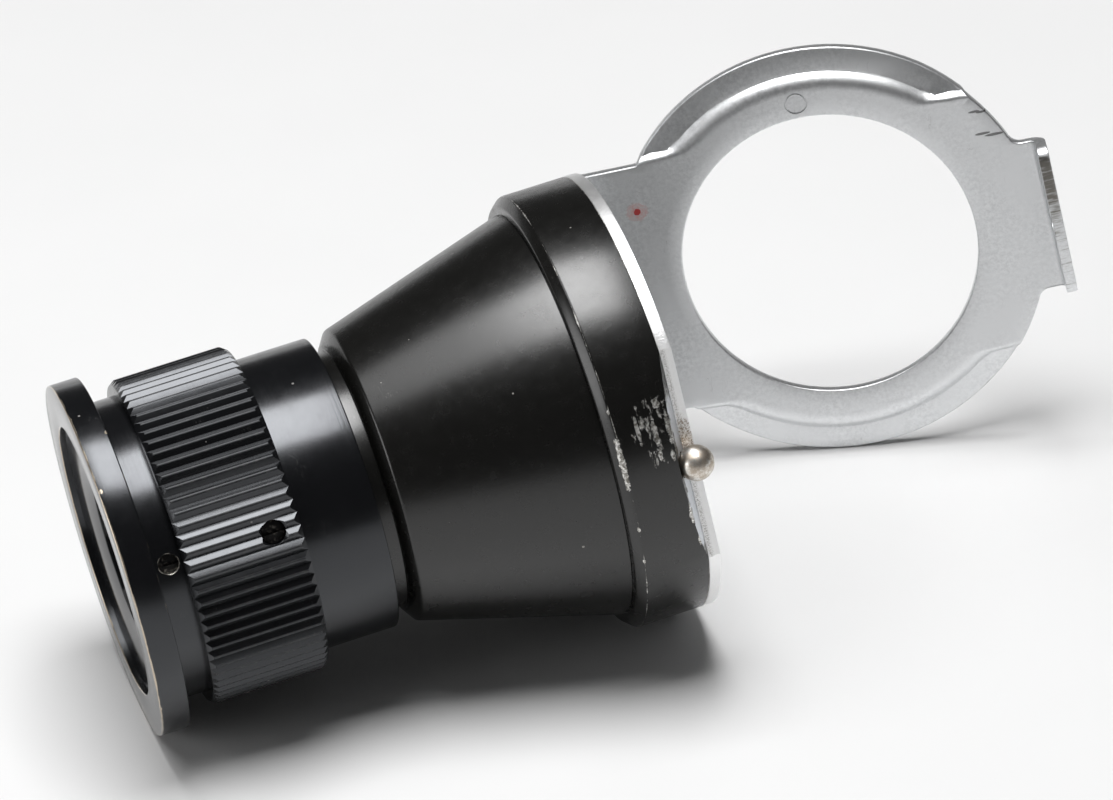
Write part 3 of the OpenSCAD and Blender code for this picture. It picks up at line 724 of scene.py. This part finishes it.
def ring_marks(tree, place, plate, mottle):
    """Faded red dot beside the hinge and two small creases above the catch, dented and darkened with painted
    shade.
    """
    halo = use(tree, patch, place=place, centre=RED_DOT, reach=(1.15, 1.0, 1.0), ragged=1.3)[0]
    heart = use(tree, patch, place=place, centre=RED_DOT, reach=(0.36, 0.36, 1.0), ragged=0.9)[0]
    halo = times(tree, halo, ranged(tree, eased(tree, mottle, 0.35, 0.65), 0.1, 0.62))
    color = blend(tree, heart, blend(tree, halo, plate, (0.55, 0.16, 0.13)), (0.42, 0.04, 0.04))
    dents_and_painted_shade = strongest(tree, [use(tree, patch, place=place, centre=centre, reach=reach, ragged=0.4)[0]
                             for centre, reach in CREASES])
    # Painted shade: the creases are darkened towards a dark grey, standing in for the shade that falls in them
    color = blend(tree, times(tree, dents_and_painted_shade, 0.85), color, (0.14, 0.14, 0.14))
    return color, strongest(tree, [heart, halo]), dents_and_painted_shade


def tarnished_nickel():
    """Bright plating, brown with tarnish in blotches."""
    material, tree, shader = new_material("tarnished nickel")
    place = use(tree, barrel_place)[0]
    blotch = eased(tree, noise(tree, place, 1.3, 6, 0.7), 0.34, 0.56)
    fine = noise(tree, place, 6, 4)
    tarnish = times(tree, blotch, ranged(tree, fine, 0.3, 1.0))
    color = blend(tree, tarnish, (0.82, 0.8, 0.76), (0.36, 0.27, 0.18))
    fed(tree, shader, {"Base Color": color, "Metallic": 1.0, "Roughness": ranged(tree, tarnish, 0.32, 0.55),
                       "Normal": bumped(tree, fine, 0.004)})
    return material


def blackened_steel():
    """Oil-blacked screw steel, rubbed paler in patches, with a fine grain."""
    material, tree, shader = new_material("blackened steel")
    place = use(tree, barrel_place)[0]
    rubbed = eased(tree, noise(tree, place, 2.4, 6, 0.7), 0.52, 0.68)
    grain = noise(tree, place, 12, 3)
    color = blend(tree, rubbed, (0.035, 0.034, 0.034), (0.3, 0.28, 0.25))
    fed(tree, shader, {"Base Color": color, "Metallic": 0.9, "Roughness": ranged(tree, grain, 0.28, 0.5),
                       "Normal": bumped(tree, grain, 0.006)})
    return material


def black_inside():
    """Glossy black of the inner fittings, finely ridged."""
    material, tree, shader = new_material("black inside")
    place = use(tree, barrel_place)[0]
    along = stretched(tree, place, (0, 0, 1))
    ridges = add(tree, "TexWave", {"Vector": along, "Scale": 0.7, "Distortion": 0.4},
                 bands_direction="Z").outputs[1]
    grain = noise(tree, place, 8, 4)
    dust = use(tree, specks, place=place, scale=0.9, size=0.1, share=0.2)[0]
    dye = blend(tree, grain, (0.005, 0.0052, 0.006), (0.01, 0.0104, 0.012))
    height = plus(tree, ridges, times(tree, grain, 0.2))
    fed(tree, shader, {"Base Color": blend(tree, dust, dye, (0.25, 0.24, 0.22)), "Metallic": 0.0,
                       "Roughness": ranged(tree, grain, 0.08, 0.16), "Normal": bumped(tree, height, 0.006)})
    return material


def key_brass():
    material, tree, shader = new_material("key brass")
    place = use(tree, barrel_place)[0]
    drawn = noise(tree, stretched(tree, place, (9, 9, 0.6)), 1.0, 4)
    stain = eased(tree, noise(tree, place, 0.9, 5), 0.45, 0.7)
    color = blend(tree, stain, (0.62, 0.46, 0.2), (0.3, 0.2, 0.09))
    fed(tree, shader, {"Base Color": color, "Metallic": 1.0, "Roughness": ranged(tree, drawn, 0.2, 0.42),
                       "Normal": bumped(tree, drawn, 0.006)})
    return material


def white_table():
    """Plain pale table top, a little uneven in its sheen."""
    material, tree, shader = new_material("white table")
    spot = tree.nodes.new("ShaderNodeTexCoord").outputs["Object"]
    uneven = noise(tree, spot, 40, 4)
    fed(tree, shader, {"Base Color": blend(tree, uneven, (0.8, 0.8, 0.8), (0.82, 0.82, 0.82)),
                       "Roughness": ranged(tree, uneven, 0.5, 0.6)})
    return material


def lens_glass():
    """Clear crown glass, faintly green, with wiping marks and a few grains of dust."""
    material, tree, shader = new_material("lens glass")
    place = use(tree, barrel_place)[0]
    smear = eased(tree, noise(tree, stretched(tree, place, (0.5, 0.16, 0.5)), 1.0, 5), 0.45, 0.8)
    dust = use(tree, specks, place=place, scale=0.8, size=0.05, share=0.15)[0]
    color = blend(tree, dust, (0.95, 0.985, 0.97), (0.5, 0.5, 0.48))
    rough = plus(tree, times(tree, smear, 0.03), times(tree, dust, 0.3))
    fed(tree, shader, {"Base Color": color, "Metallic": 0.0, "Roughness": rough, "IOR": 1.52,
                       "Transmission Weight": 1.0})
    return material


anodised = black_anodised()
enamel = black_enamel()
inside = black_inside()
plate_sheet = dull_plating("dull plated plate", barrel_place, plate_shear, plate_marks)
ring_sheet = dull_plating("dull plated ring", ring_place, ring_shear, ring_marks)
bright = tarnished_nickel()
screws = blackened_steel()
brass = key_brass()
glass = lens_glass()


# Focusing head

def eyepiece_rim():
    bm = turned([(BORE_R, 0, 0.12), (FLANGE_R, 0, 0.16), (FLANGE_R, FLANGE_T, 0.14),
                 (NECK_R, FLANGE_T, 0.12), (NECK_R, NECK_END_S, 0), (BORE_R, NECK_END_S, 0)])
    reach = NECK_R + 1
    mouth = 0.05
    hole = turned([(SET_SCREW_R, 0, 0), (SET_SCREW_R, NECK_R - mouth, 0),
                   (SET_SCREW_R + mouth, NECK_R, 0), (SET_SCREW_R + mouth, reach, 0),
                   (0, reach, 0), (0, 0, 0)], closed=False, steps=SMALL_STEPS)
    dressed(combined(bm, round_head(hole, SET_SCREW_S)), "eyepiece_rim", anodised)


def grub_screws(node, station, r, dog_r, point_at, body_at, head_at):
    bm = turned([(0, point_at, 0), (dog_r, point_at, 0.1), (dog_r, body_at, 0), (r, body_at, 0.08),
                 (r, head_at, 0.12), (0, head_at, 0)], closed=False, steps=SMALL_STEPS)
    dressed(round_head(slotted(bm, 4 * r, head_at - SLOT_DEPTH), station), node, screws)


def rib_radius(angle):
    """Radius of the grip ring at an angle from a rib's crest: a rounded crest on straight flanks."""
    flank = math.radians(RIB_FLANK)
    aside, foot = abs(angle) * GRIP_R, RIB_ROUND * math.sin(flank)
    drop = RIB_ROUND - math.sqrt(RIB_ROUND ** 2 - min(aside, foot) ** 2)
    return GRIP_R - drop - max(aside - foot, 0) * math.tan(flank)


def grip_ring():
    """One rib from groove to groove, chamfered at its ends and repeated round the ring."""
    half = math.pi / RIB_COUNT
    root_r = rib_radius(half)
    bore_front, bore_rear = NECK_R + FIT, SLEEVE_R + RUNNING_FIT
    bm = bmesh.new()
    chain(bm, [(bore_front, GRIP_S), (root_r, GRIP_S), (root_r, GRIP_S + RIB_BEVEL),
               (root_r, GRIP_END_S - RIB_BEVEL), (root_r, GRIP_END_S), (bore_rear, GRIP_END_S),
               (bore_rear, NECK_END_S + FIT), (bore_front, NECK_END_S + FIT)], closed=True)
    bmesh.ops.spin(bm, geom=bm.verts[:] + bm.edges[:], cent=(0, 0, 0), axis=(0, 0, 1), angle=2 * half,
                   steps=RIB_PARTS)
    for v in bm.verts:
        if radius(v) > root_r - NO_DOUBLES and GRIP_S + NO_DOUBLES < v.co.z < GRIP_END_S - NO_DOUBLES:
            raised = rib_radius(math.atan2(v.co.y, v.co.x) - half)
            lift = RIB_BEVEL * (raised - root_r) / (GRIP_R - root_r)
            s = GRIP_S + lift if v.co.z < NECK_END_S else GRIP_END_S - lift
            v.co = (v.co.x * raised / root_r, v.co.y * raised / root_r, s)
    closed_up(repeated(bm, RIB_COUNT))
    reach, sink = GRIP_R + 1, STOP_SINK_R - STOP_SCREW_R
    hole = turned([(STOP_SCREW_R, 0, 0), (STOP_SCREW_R, GRIP_R - sink, 0),
                   (STOP_SINK_R + sink, GRIP_R + sink, 0), (STOP_SINK_R + sink, reach, 0),
                   (0, reach, 0), (0, 0, 0)], closed=False, steps=SMALL_STEPS)
    dressed(combined(bm, round_head(hole, STOP_SCREW_S)), "focus_grip", anodised, smooth=16)


# Lens carriage

def lens_carriage():
    dish_s = CELL_S + CELL_DISH
    eye_s = dish_s + CELL_FRONT_T
    inner_s = eye_s + LENS_EDGE + SPACER_LEN
    lens_r = CELL_BORE_R - FIT
    groove, deep = 0.58, 0.5
    dressed(turned([(EYE_OPEN_R, dish_s, 0.1), (CELL_R, CELL_S, 0.08), (CELL_R, SET_SCREW_S - groove, 0),
                    (CELL_R - deep, SET_SCREW_S - groove, 0), (CELL_R - deep, SET_SCREW_S + groove, 0),
                    (CELL_R, SET_SCREW_S + groove, 0), (CELL_R, CELL_END_S, 0.1),
                    (CELL_BORE_R, CELL_END_S, 0.1), (CELL_BORE_R, eye_s, 0),
                    (EYE_OPEN_R, eye_s, 0)]), "lens_cell", inside)
    face_r = lens_r - SPACER_W
    dressed(lens([(EYE_OPEN_R - RUNNING_FIT, eye_s), (lens_r, eye_s), (lens_r, eye_s + LENS_EDGE),
                  (face_r, eye_s + LENS_EDGE)], LENS_FLAT_R, LENS_STEEP_R), "eye_lens", glass)
    dressed(lens([(face_r, inner_s), (lens_r, inner_s), (lens_r, inner_s + LENS_EDGE),
                  (face_r, inner_s + LENS_EDGE)], LENS_STEEP_R, LENS_FLAT_R), "inner_lens", glass)


# Barrel

def sleeve():
    floor_r = SLEEVE_R - 0.5
    low, high = STOP_SCREW_S - RECESS_HALF, STOP_SCREW_S + RECESS_HALF
    dressed(turned([(BORE_R, SLEEVE_S, 0), (SLEEVE_R, SLEEVE_S, 0.1), (SLEEVE_R, low, 0),
                    (floor_r, low, 0), (floor_r, high, 0), (SLEEVE_R, high, 0),
                    (SLEEVE_R, SLEEVE_END_S, 0.14), (BORE_R, SLEEVE_END_S, 0)]), "sleeve", anodised)


def cone_body():
    spigot_r = BORE_R - FIT
    dressed(turned([(CONE_BORE_R, SPIGOT_S, 0), (spigot_r, SPIGOT_S, 0), (spigot_r, SLEEVE_END_S, 0),
                    (WAIST_R, SLEEVE_END_S, 0), (WAIST_R, NOSE_S, 0.1), (NOSE_R, NOSE_S, 0.1),
                    (CONE_R, CONE_S, 0.18), (CONE_END_R, SHOULDER_S, 0.1), (TAIL_R, SHOULDER_S, 0),
                    (TAIL_R, TAIL_S, 0), (TAIL_BORE_R, TAIL_S, 0), (TAIL_BORE_R, SHOULDER_S, 0),
                    (CONE_BORE_R, CONE_S, 0)]), "cone_body", enamel)


def base_ring():
    seat_r, tail_r, relief_r = OBJECTIVE_R + FIT, TAIL_R + FIT, BALL_R + 0.1
    bm = turned([(tail_r, SHOULDER_S, 0), (SHOULDER_R, SHOULDER_S, 0.15), (BASE_R, BASE_S, 0.2),
                 (BASE_R, PLATE_S, 0.06), (seat_r, PLATE_S, 0), (seat_r, OBJECTIVE_S, 0),
                 (OBJECTIVE_FACE_R, OBJECTIVE_S, 0), (OBJECTIVE_FACE_R, TAIL_S + FIT, 0),
                 (tail_r, TAIL_S + FIT, 0)])
    lean = math.atan2(BASE_R - FLAT_AT, FLAT_BEVEL)
    cut = bmesh.ops.bisect_plane(bm, geom=everything(bm), plane_co=(FLAT_AT, 0, PLATE_S),
                                 plane_no=(math.cos(lean), 0, math.sin(lean)), clear_outer=True)
    bmesh.ops.edgeloop_fill(bm, edges=of_kind(cut["geom_cut"], BMEdge))
    closed_up(bm)
    relief = bmesh.new()
    bmesh.ops.create_icosphere(relief, subdivisions=4, radius=relief_r,
                               matrix=Matrix.Translation((BALL_AT, CATCH_SHIFT, BALL_S)))
    dressed(combined(bm, relief), "base_ring", enamel)


def objective():
    rear_s = OBJECTIVE_S + OBJECTIVE_EDGE
    front_curve, rear_curve = LENS_FLAT_R * 2, LENS_FLAT_R * 3
    dressed(lens([(OBJECTIVE_FACE_R, OBJECTIVE_S), (OBJECTIVE_R, OBJECTIVE_S), (OBJECTIVE_R, rear_s),
                  (OBJECTIVE_FACE_R, rear_s)], front_curve, rear_curve), "objective_lens", glass)
    dressed(turned([(OBJECTIVE_FACE_R, rear_s, 0.1), (OBJECTIVE_R, rear_s, 0), (OBJECTIVE_R, PLATE_S, 0),
                    (OBJECTIVE_FACE_R, PLATE_S, 0.25)]), "objective_retainer", inside)


def knuckle(low, high):
    """Rolled knuckle on the hinge pin, between two heights along the hinge."""
    bore_r = PIN_R + 0.04
    bm = turned([(bore_r, low, 0.1), (KNUCKLE_R, low, 0.15), (KNUCKLE_R, high, 0.15), (bore_r, high, 0.1)],
                steps=SMALL_STEPS)
    return moved(bm, ON_PIN)


def facing_front(bm):
    """Turns a flat sheet's faces towards -Z, so that its thickness goes to +Z."""
    if bm.faces[:][0].normal.z > 0:
        bmesh.ops.reverse_faces(bm, faces=bm.faces[:])


def annulus(radii, s):
    bm = bmesh.new()
    chain(bm, [(r, s) for r in radii])
    spun(bm, TURN_STEPS)
    facing_front(bm)
    return bm


def ruled(bm, heights, from_r=0):
    """Adds straight lines of edges across a sheet, outside a radius, at heights along the hinge."""
    slack = 0.02
    for y in heights:
        faces = [f for f in bm.faces if min(radius(v) for v in f.verts) > from_r - slack]
        edges = dict.fromkeys(e for f in faces for e in f.edges)
        verts = dict.fromkeys(v for f in faces for v in f.verts)
        bmesh.ops.bisect_plane(bm, geom=[*verts, *edges, *faces], dist=0.01, plane_co=(0, y, 0),
                               plane_no=(0, 1, 0))


def rim_edges(bm, side, low, high):
    """Border edges of a sheet's outer rim on one side, between two heights along the hinge."""
    slack = 0.05
    return [e for e in bm.edges if e.is_boundary
            and all(radius(v) > RING_R - slack and side * v.co.x > 0
                    and low - slack < v.co.y < high + slack for v in e.verts)]


def drawn_out(bm, edges, x):
    """Extrudes border edges to a straight line across X, and returns the new edges."""
    made = bmesh.ops.extrude_edge_only(bm, edges=edges)["geom"]
    for v in of_kind(made, BMVert):
        v.co.x = x
    return [e for e in of_kind(made, BMEdge) if all(abs(v.co.x - x) < NO_DOUBLES for v in e.verts)]


def hinge_plate():
    knuckle_from = MID_KNUCKLE_H + KNUCKLE_GAP
    ends = ((-KNUCKLE_END_H, -knuckle_from), (knuckle_from, KNUCKLE_END_H))
    bm = annulus([PLATE_OPENING_R, BASE_R], PLATE_S)
    ruled(bm, [side * h for side in (-1, 1) for h in (knuckle_from, KNUCKLE_END_H)])
    bmesh.ops.bisect_plane(bm, geom=everything(bm), dist=0.001, plane_co=(FLAT_AT, 0, 0),
                           plane_no=(1, 0, 0), clear_outer=True)
    for low, high in ends:
        drawn_out(bm, rim_edges(bm, -1, low, high), SHEET_END)
    bmesh.ops.solidify(bm, geom=bm.faces[:], thickness=PLATE_T)
    closed_up(bm)
    bevelled(bm, sharp_edges(bm, 60), 0.08)
    for low, high in ends:
        bm = combined(bm, knuckle(low, high), "UNION")
    hole_r, sink = PLATE_SCREW_R + FIT, PLATE_SCREW_HEAD_R - PLATE_SCREW_R + 0.1
    past, below = 0.5, -PLATE_T - 1
    holes = turned([(hole_r, below, 0), (hole_r, -sink, 0), (hole_r + sink + past, past, 0), (0, past, 0),
                    (0, below, 0)], closed=False, steps=SMALL_STEPS)
    dressed(combined(bm, at_plate_screws(holes)), "hinge_plate", plate_sheet, smooth=20)


def at_plate_screws(bm):
    """Moves a shape, drawn with its top at zero, to the screw places of the plate."""
    moved(bm, Matrix.Rotation(math.pi / PLATE_SCREW_COUNT, 4, "Z")
          @ Matrix.Translation((PLATE_SCREW_AT, 0, FACE_S)))
    return repeated(bm, PLATE_SCREW_COUNT)


def plate_screws():
    head_h = PLATE_SCREW_HEAD_R - PLATE_SCREW_R
    bm = turned([(0, -PLATE_SCREW_LEN, 0), (PLATE_SCREW_R, -PLATE_SCREW_LEN, 0.2),
                 (PLATE_SCREW_R, -head_h, 0),
                 (PLATE_SCREW_HEAD_R, -0.05, 0.04), (0, 0, 0)], closed=False, steps=SMALL_STEPS)
    dressed(at_plate_screws(slotted(bm, 4 * PLATE_SCREW_HEAD_R, -SLOT_DEPTH)), "plate_screws", screws)


def catch_ball():
    """Ball on a shank, drawn with the shank along -Z and laid towards the barrel."""
    shank_r = PLATE_T * 0.28
    bm = bmesh.new()
    neck = -math.sqrt(BALL_R ** 2 - shank_r ** 2)
    tail = chain(bm, [(0, -BALL_FOOT), (shank_r, -BALL_FOOT), (shank_r, neck)])
    arc(bm, tail[-1], 0, -180 + math.degrees(math.asin(shank_r / BALL_R)))
    spun(bm, SMALL_STEPS)
    place = Matrix.Translation((BALL_AT, CATCH_SHIFT, BALL_S)) @ Matrix.Rotation(math.pi / 2, 4, "Y")
    dressed(moved(bm, place), "catch_ball", bright)


def hinge_pin():
    head_r, head_t = PIN_R * 1.5, 0.4
    low = KNUCKLE_END_H + FIT
    half = [(0, low + head_t, 0), (head_r, low + head_t, 0.22), (head_r, low, 0), (PIN_R, low, 0)]
    bm = turned(half + [(r, -s, rounding) for r, s, rounding in reversed(half)], closed=False,
                steps=SMALL_STEPS)
    dressed(moved(bm, ON_PIN), "hinge_pin", bright)


# Lug ring

def share(value):
    return min(max(value, 0), 1)


def pressed(t):
    """Section of the step: a wide roll that steepens to a wall, and a tight bend at its foot."""
    foot, depth = 0.9, 0.857
    return depth * (t / foot) ** 3 if t < foot else 1 - (1 - depth) * ((1 - t) / (1 - foot)) ** 2


def set_back(v):
    """Depth of the pressed lugs at a point of the ring; behind the step they lean back to the rim."""
    soft = 0.5
    round_way = (radius(v) - ROLL_R) / STEP_W
    along_way = (abs(v.co.y) - STEP_FROM_H) / STEP_END_W
    lesser = (round_way + along_way - math.hypot(round_way - along_way, soft)) / 2
    way = share(lesser + soft / 4)
    lean = (LUG_STEP - WALL_DEPTH) * share((radius(v) - LEAN_R) / (RING_R - LEAN_R))
    fading = END_DEPTH + (1 - END_DEPTH) * share((abs(v.co.y) - STEP_FROM_H) / 4)
    return (WALL_DEPTH * pressed(way) + lean * way) * fading


def on_lip(edge):
    return any(v.co.z < -LIP_BEND for v in edge.verts)


def ring_blank(catch):
    """Flat ring, with lines of edges across it where it is pressed, bent or drawn out."""
    step_rows = [STEP_W * i / STEP_PARTS for i in range(STEP_PARTS + 1)]
    end_rows = [STEP_FROM_H + row * STEP_END_W / STEP_W for row in step_rows[1::2]]
    bm = annulus([RING_OPENING_R, MARK_AT] + [ROLL_R + row for row in step_rows] + [LEAN_R + 0.5, RING_R], 0)
    ruled(bm, [side * h for side in (-1, 1) for h in [MID_KNUCKLE_H, HINGE_TAB_H] + end_rows], ROLL_R)
    ruled(bm, catch, ROLL_R)
    ruled(bm, [CATCH_SHIFT + side * (CATCH_TAB_H - LIP_CORNER * part) for side in (-1, 1)
               for part in CORNER_PARTS], ROLL_R)
    in_order = sorted(bm.verts, key=lambda v: (round(v.co.y, 3), round(v.co.x, 3)))
    bmesh.ops.remove_doubles(bm, verts=in_order, dist=LINES_APART)
    return bm


def bent_lip(bm, rim):
    """Draws the catch tab out of the rim and bends it forward to a bowed lip with round corners."""
    edges = drawn_out(bm, rim, LIP_AT - LIP_BEND)
    bend = bmesh.ops.spin(bm, geom=edges, cent=(LIP_AT - LIP_BEND, 0, -LIP_BEND), axis=(0, 1, 0),
                          angle=math.radians(90 - LIP_LEAN), steps=BEND_STEPS)["geom_last"]
    lean, reach = math.radians(LIP_LEAN), LIP_LEN - LIP_BEND
    made = bmesh.ops.extrude_edge_only(bm, edges=of_kind(bend, BMEdge))["geom"]
    for v in of_kind(made, BMVert):
        aside = v.co.y - CATCH_SHIFT
        past = max(abs(aside) - CATCH_TAB_H + LIP_CORNER, 0)
        out = reach - LIP_BOW * (aside / CATCH_TAB_H) ** 2 - LIP_CORNER
        out += math.sqrt(max(LIP_CORNER ** 2 - past ** 2, 0))
        v.co += Vector((out * math.sin(lean), 0, -out * math.cos(lean)))


def thickened(bm):
    """Gives the ring's sheet its thickness, fillets beside the tabs and rounded edges."""
    bmesh.ops.recalc_face_normals(bm, faces=bm.faces[:])
    facing_front(bm)
    bmesh.ops.solidify(bm, geom=bm.faces[:], thickness=SHEET_T)
    closed_up(bm)
    through = 1
    corners = [e for e in sharp_edges(bm, 30, concave=True)
               if abs(e.verts[0].co.z - e.verts[1].co.z) > through]
    bevelled(bm, corners, TAB_FILLET, segments=4)
    bevelled(bm, [e for e in sharp_edges(bm, 50) if on_lip(e)], LIP_EDGE)
    bevelled(bm, [e for e in sharp_edges(bm, 50) if not on_lip(e)], RING_EDGE, segments=4)


def lug_ring():
    """The ring is drawn flat; the lugs are pressed last, when its edges are already rounded."""
    catch = (CATCH_SHIFT - CATCH_TAB_H, CATCH_SHIFT + CATCH_TAB_H)
    bm = ring_blank(catch)
    hinge_rim, catch_rim = rim_edges(bm, -1, -HINGE_TAB_H, HINGE_TAB_H), rim_edges(bm, 1, *catch)
    tab = drawn_out(bm, hinge_rim, -TAB_END)
    drawn_out(bm, [e for e in tab if max(abs(v.co.y) for v in e.verts) < MID_KNUCKLE_H + FIT], SHEET_END)
    bent_lip(bm, catch_rim)
    thickened(bm)
    for v in bm.verts:
        v.co.z += set_back(v)
    mid = moved(knuckle(-MID_KNUCKLE_H, MID_KNUCKLE_H), Matrix.Translation((0, 0, -RING_S)))
    bm = combined(bm, mid, "UNION")
    hole_r, reach = BALL_R * 0.71, 2
    hole = turned([(hole_r, -reach, 0), (hole_r, reach, 0), (0, reach, 0), (0, -reach, 0)], closed=False,
                  steps=SMALL_STEPS)
    bm = combined(bm, moved(hole, Matrix.Translation((LIP_AT + SHEET_T / 2, CATCH_SHIFT, BALL_S - RING_S))
                            @ Matrix.Rotation(math.pi / 2, 4, "Y")))
    mark = turned([(MARK_R - MARK_W, -1, 0), (MARK_R, -1, 0), (MARK_R, MARK_DEPTH, 0),
                   (MARK_R - MARK_W, MARK_DEPTH, 0)], steps=SMALL_STEPS)
    bm = combined(bm, moved(mark, Matrix.Translation((0, -MARK_AT, 0))))
    dressed(bm, "lug_ring", ring_sheet, RING, smooth=20)


# Floor, light and camera

def softbox(name, place, tilts, size, energy):
    """Rectangular lamp that shines down, or tilted about X and Y."""
    lamp = bpy.data.lights.new(name, "AREA")
    lamp.shape = "RECTANGLE"
    lamp.size, lamp.size_y = size
    lamp.energy = energy
    light = bpy.data.objects.new(name, lamp)
    light.location = place
    light.rotation_euler = (math.radians(tilts[0]), math.radians(tilts[1]), 0)
    bpy.context.scene.collection.objects.link(light)


def studio():
    mesh = bpy.data.meshes.new("floor")
    bm = bmesh.new()
    bmesh.ops.create_grid(bm, x_segments=1, y_segments=1, size=4)
    bm.to_mesh(mesh)
    bm.free()
    floor = bpy.data.objects.new("floor", mesh)
    bpy.context.scene.collection.objects.link(floor)
    mesh.materials.append(white_table())

    softbox("overhead softbox", (0, 0.005, 0.75), (0, 0), (0.36, 0.46), 5.85)
    softbox("dim end of the softbox", (-0.38, 0.08, 0.75), (0, 0), (0.4, 0.5), 1.5)
    softbox("card at the left", (-0.6, -0.05, 0.16), (0, -90), (0.3, 0.4), 1.1)
    softbox("lit backdrop", (0, 1.3, 0.045), (-90, 0), (2.4, 0.09), 0.9)

    world = bpy.data.worlds.new("studio")
    bpy.context.scene.world = world
    world.use_nodes = True
    world.node_tree.nodes["Background"].inputs["Color"].default_value = (0.04, 0.04, 0.04, 1)
    world.node_tree.nodes["Background"].inputs["Strength"].default_value = 1


def camera():
    place = EYE + Vector((-0.08906, -0.54211, 0.32981))
    right = Vector((0.951699, -0.292884, -0.092130))
    up = Vector((0.224196, 0.457897, 0.860271))
    back = right.cross(up)
    data = bpy.data.cameras.new("camera")
    data.sensor_width = 36
    data.lens = 214.833
    data.clip_start = 0.01
    obj = bpy.data.objects.new("camera", data)
    obj.matrix_world = Matrix.Translation(place) @ Matrix((right, up, back)).transposed().to_4x4()
    bpy.context.scene.collection.objects.link(obj)
    bpy.context.scene.camera = obj


eyepiece_rim()
grub_screws("rim_set_screws", SET_SCREW_S, SET_SCREW_R - FIT, SET_DOG_R, CELL_R - DOG_REACH,
            BORE_R + RUNNING_FIT, NECK_R - SET_SUNK)
grip_ring()
grub_screws("focus_stop_screws", STOP_SCREW_S, STOP_SCREW_R - FIT, STOP_DOG_R, SLEEVE_R - DOG_REACH,
            SLEEVE_R + RUNNING_FIT, GRIP_R - STOP_SUNK)
lens_carriage()
sleeve()
cone_body()
base_ring()
objective()
hinge_plate()
plate_screws()
catch_ball()
hinge_pin()
lug_ring()
for name, material in (("lens_spacer", inside), ("cell_retainer", inside), ("guide_key", brass)):
    carried = frame["nodes"][name].data.materials
    carried.clear()
    carried.append(material)
studio()
camera()
bpy.context.scene.view_settings.view_transform = "Standard"
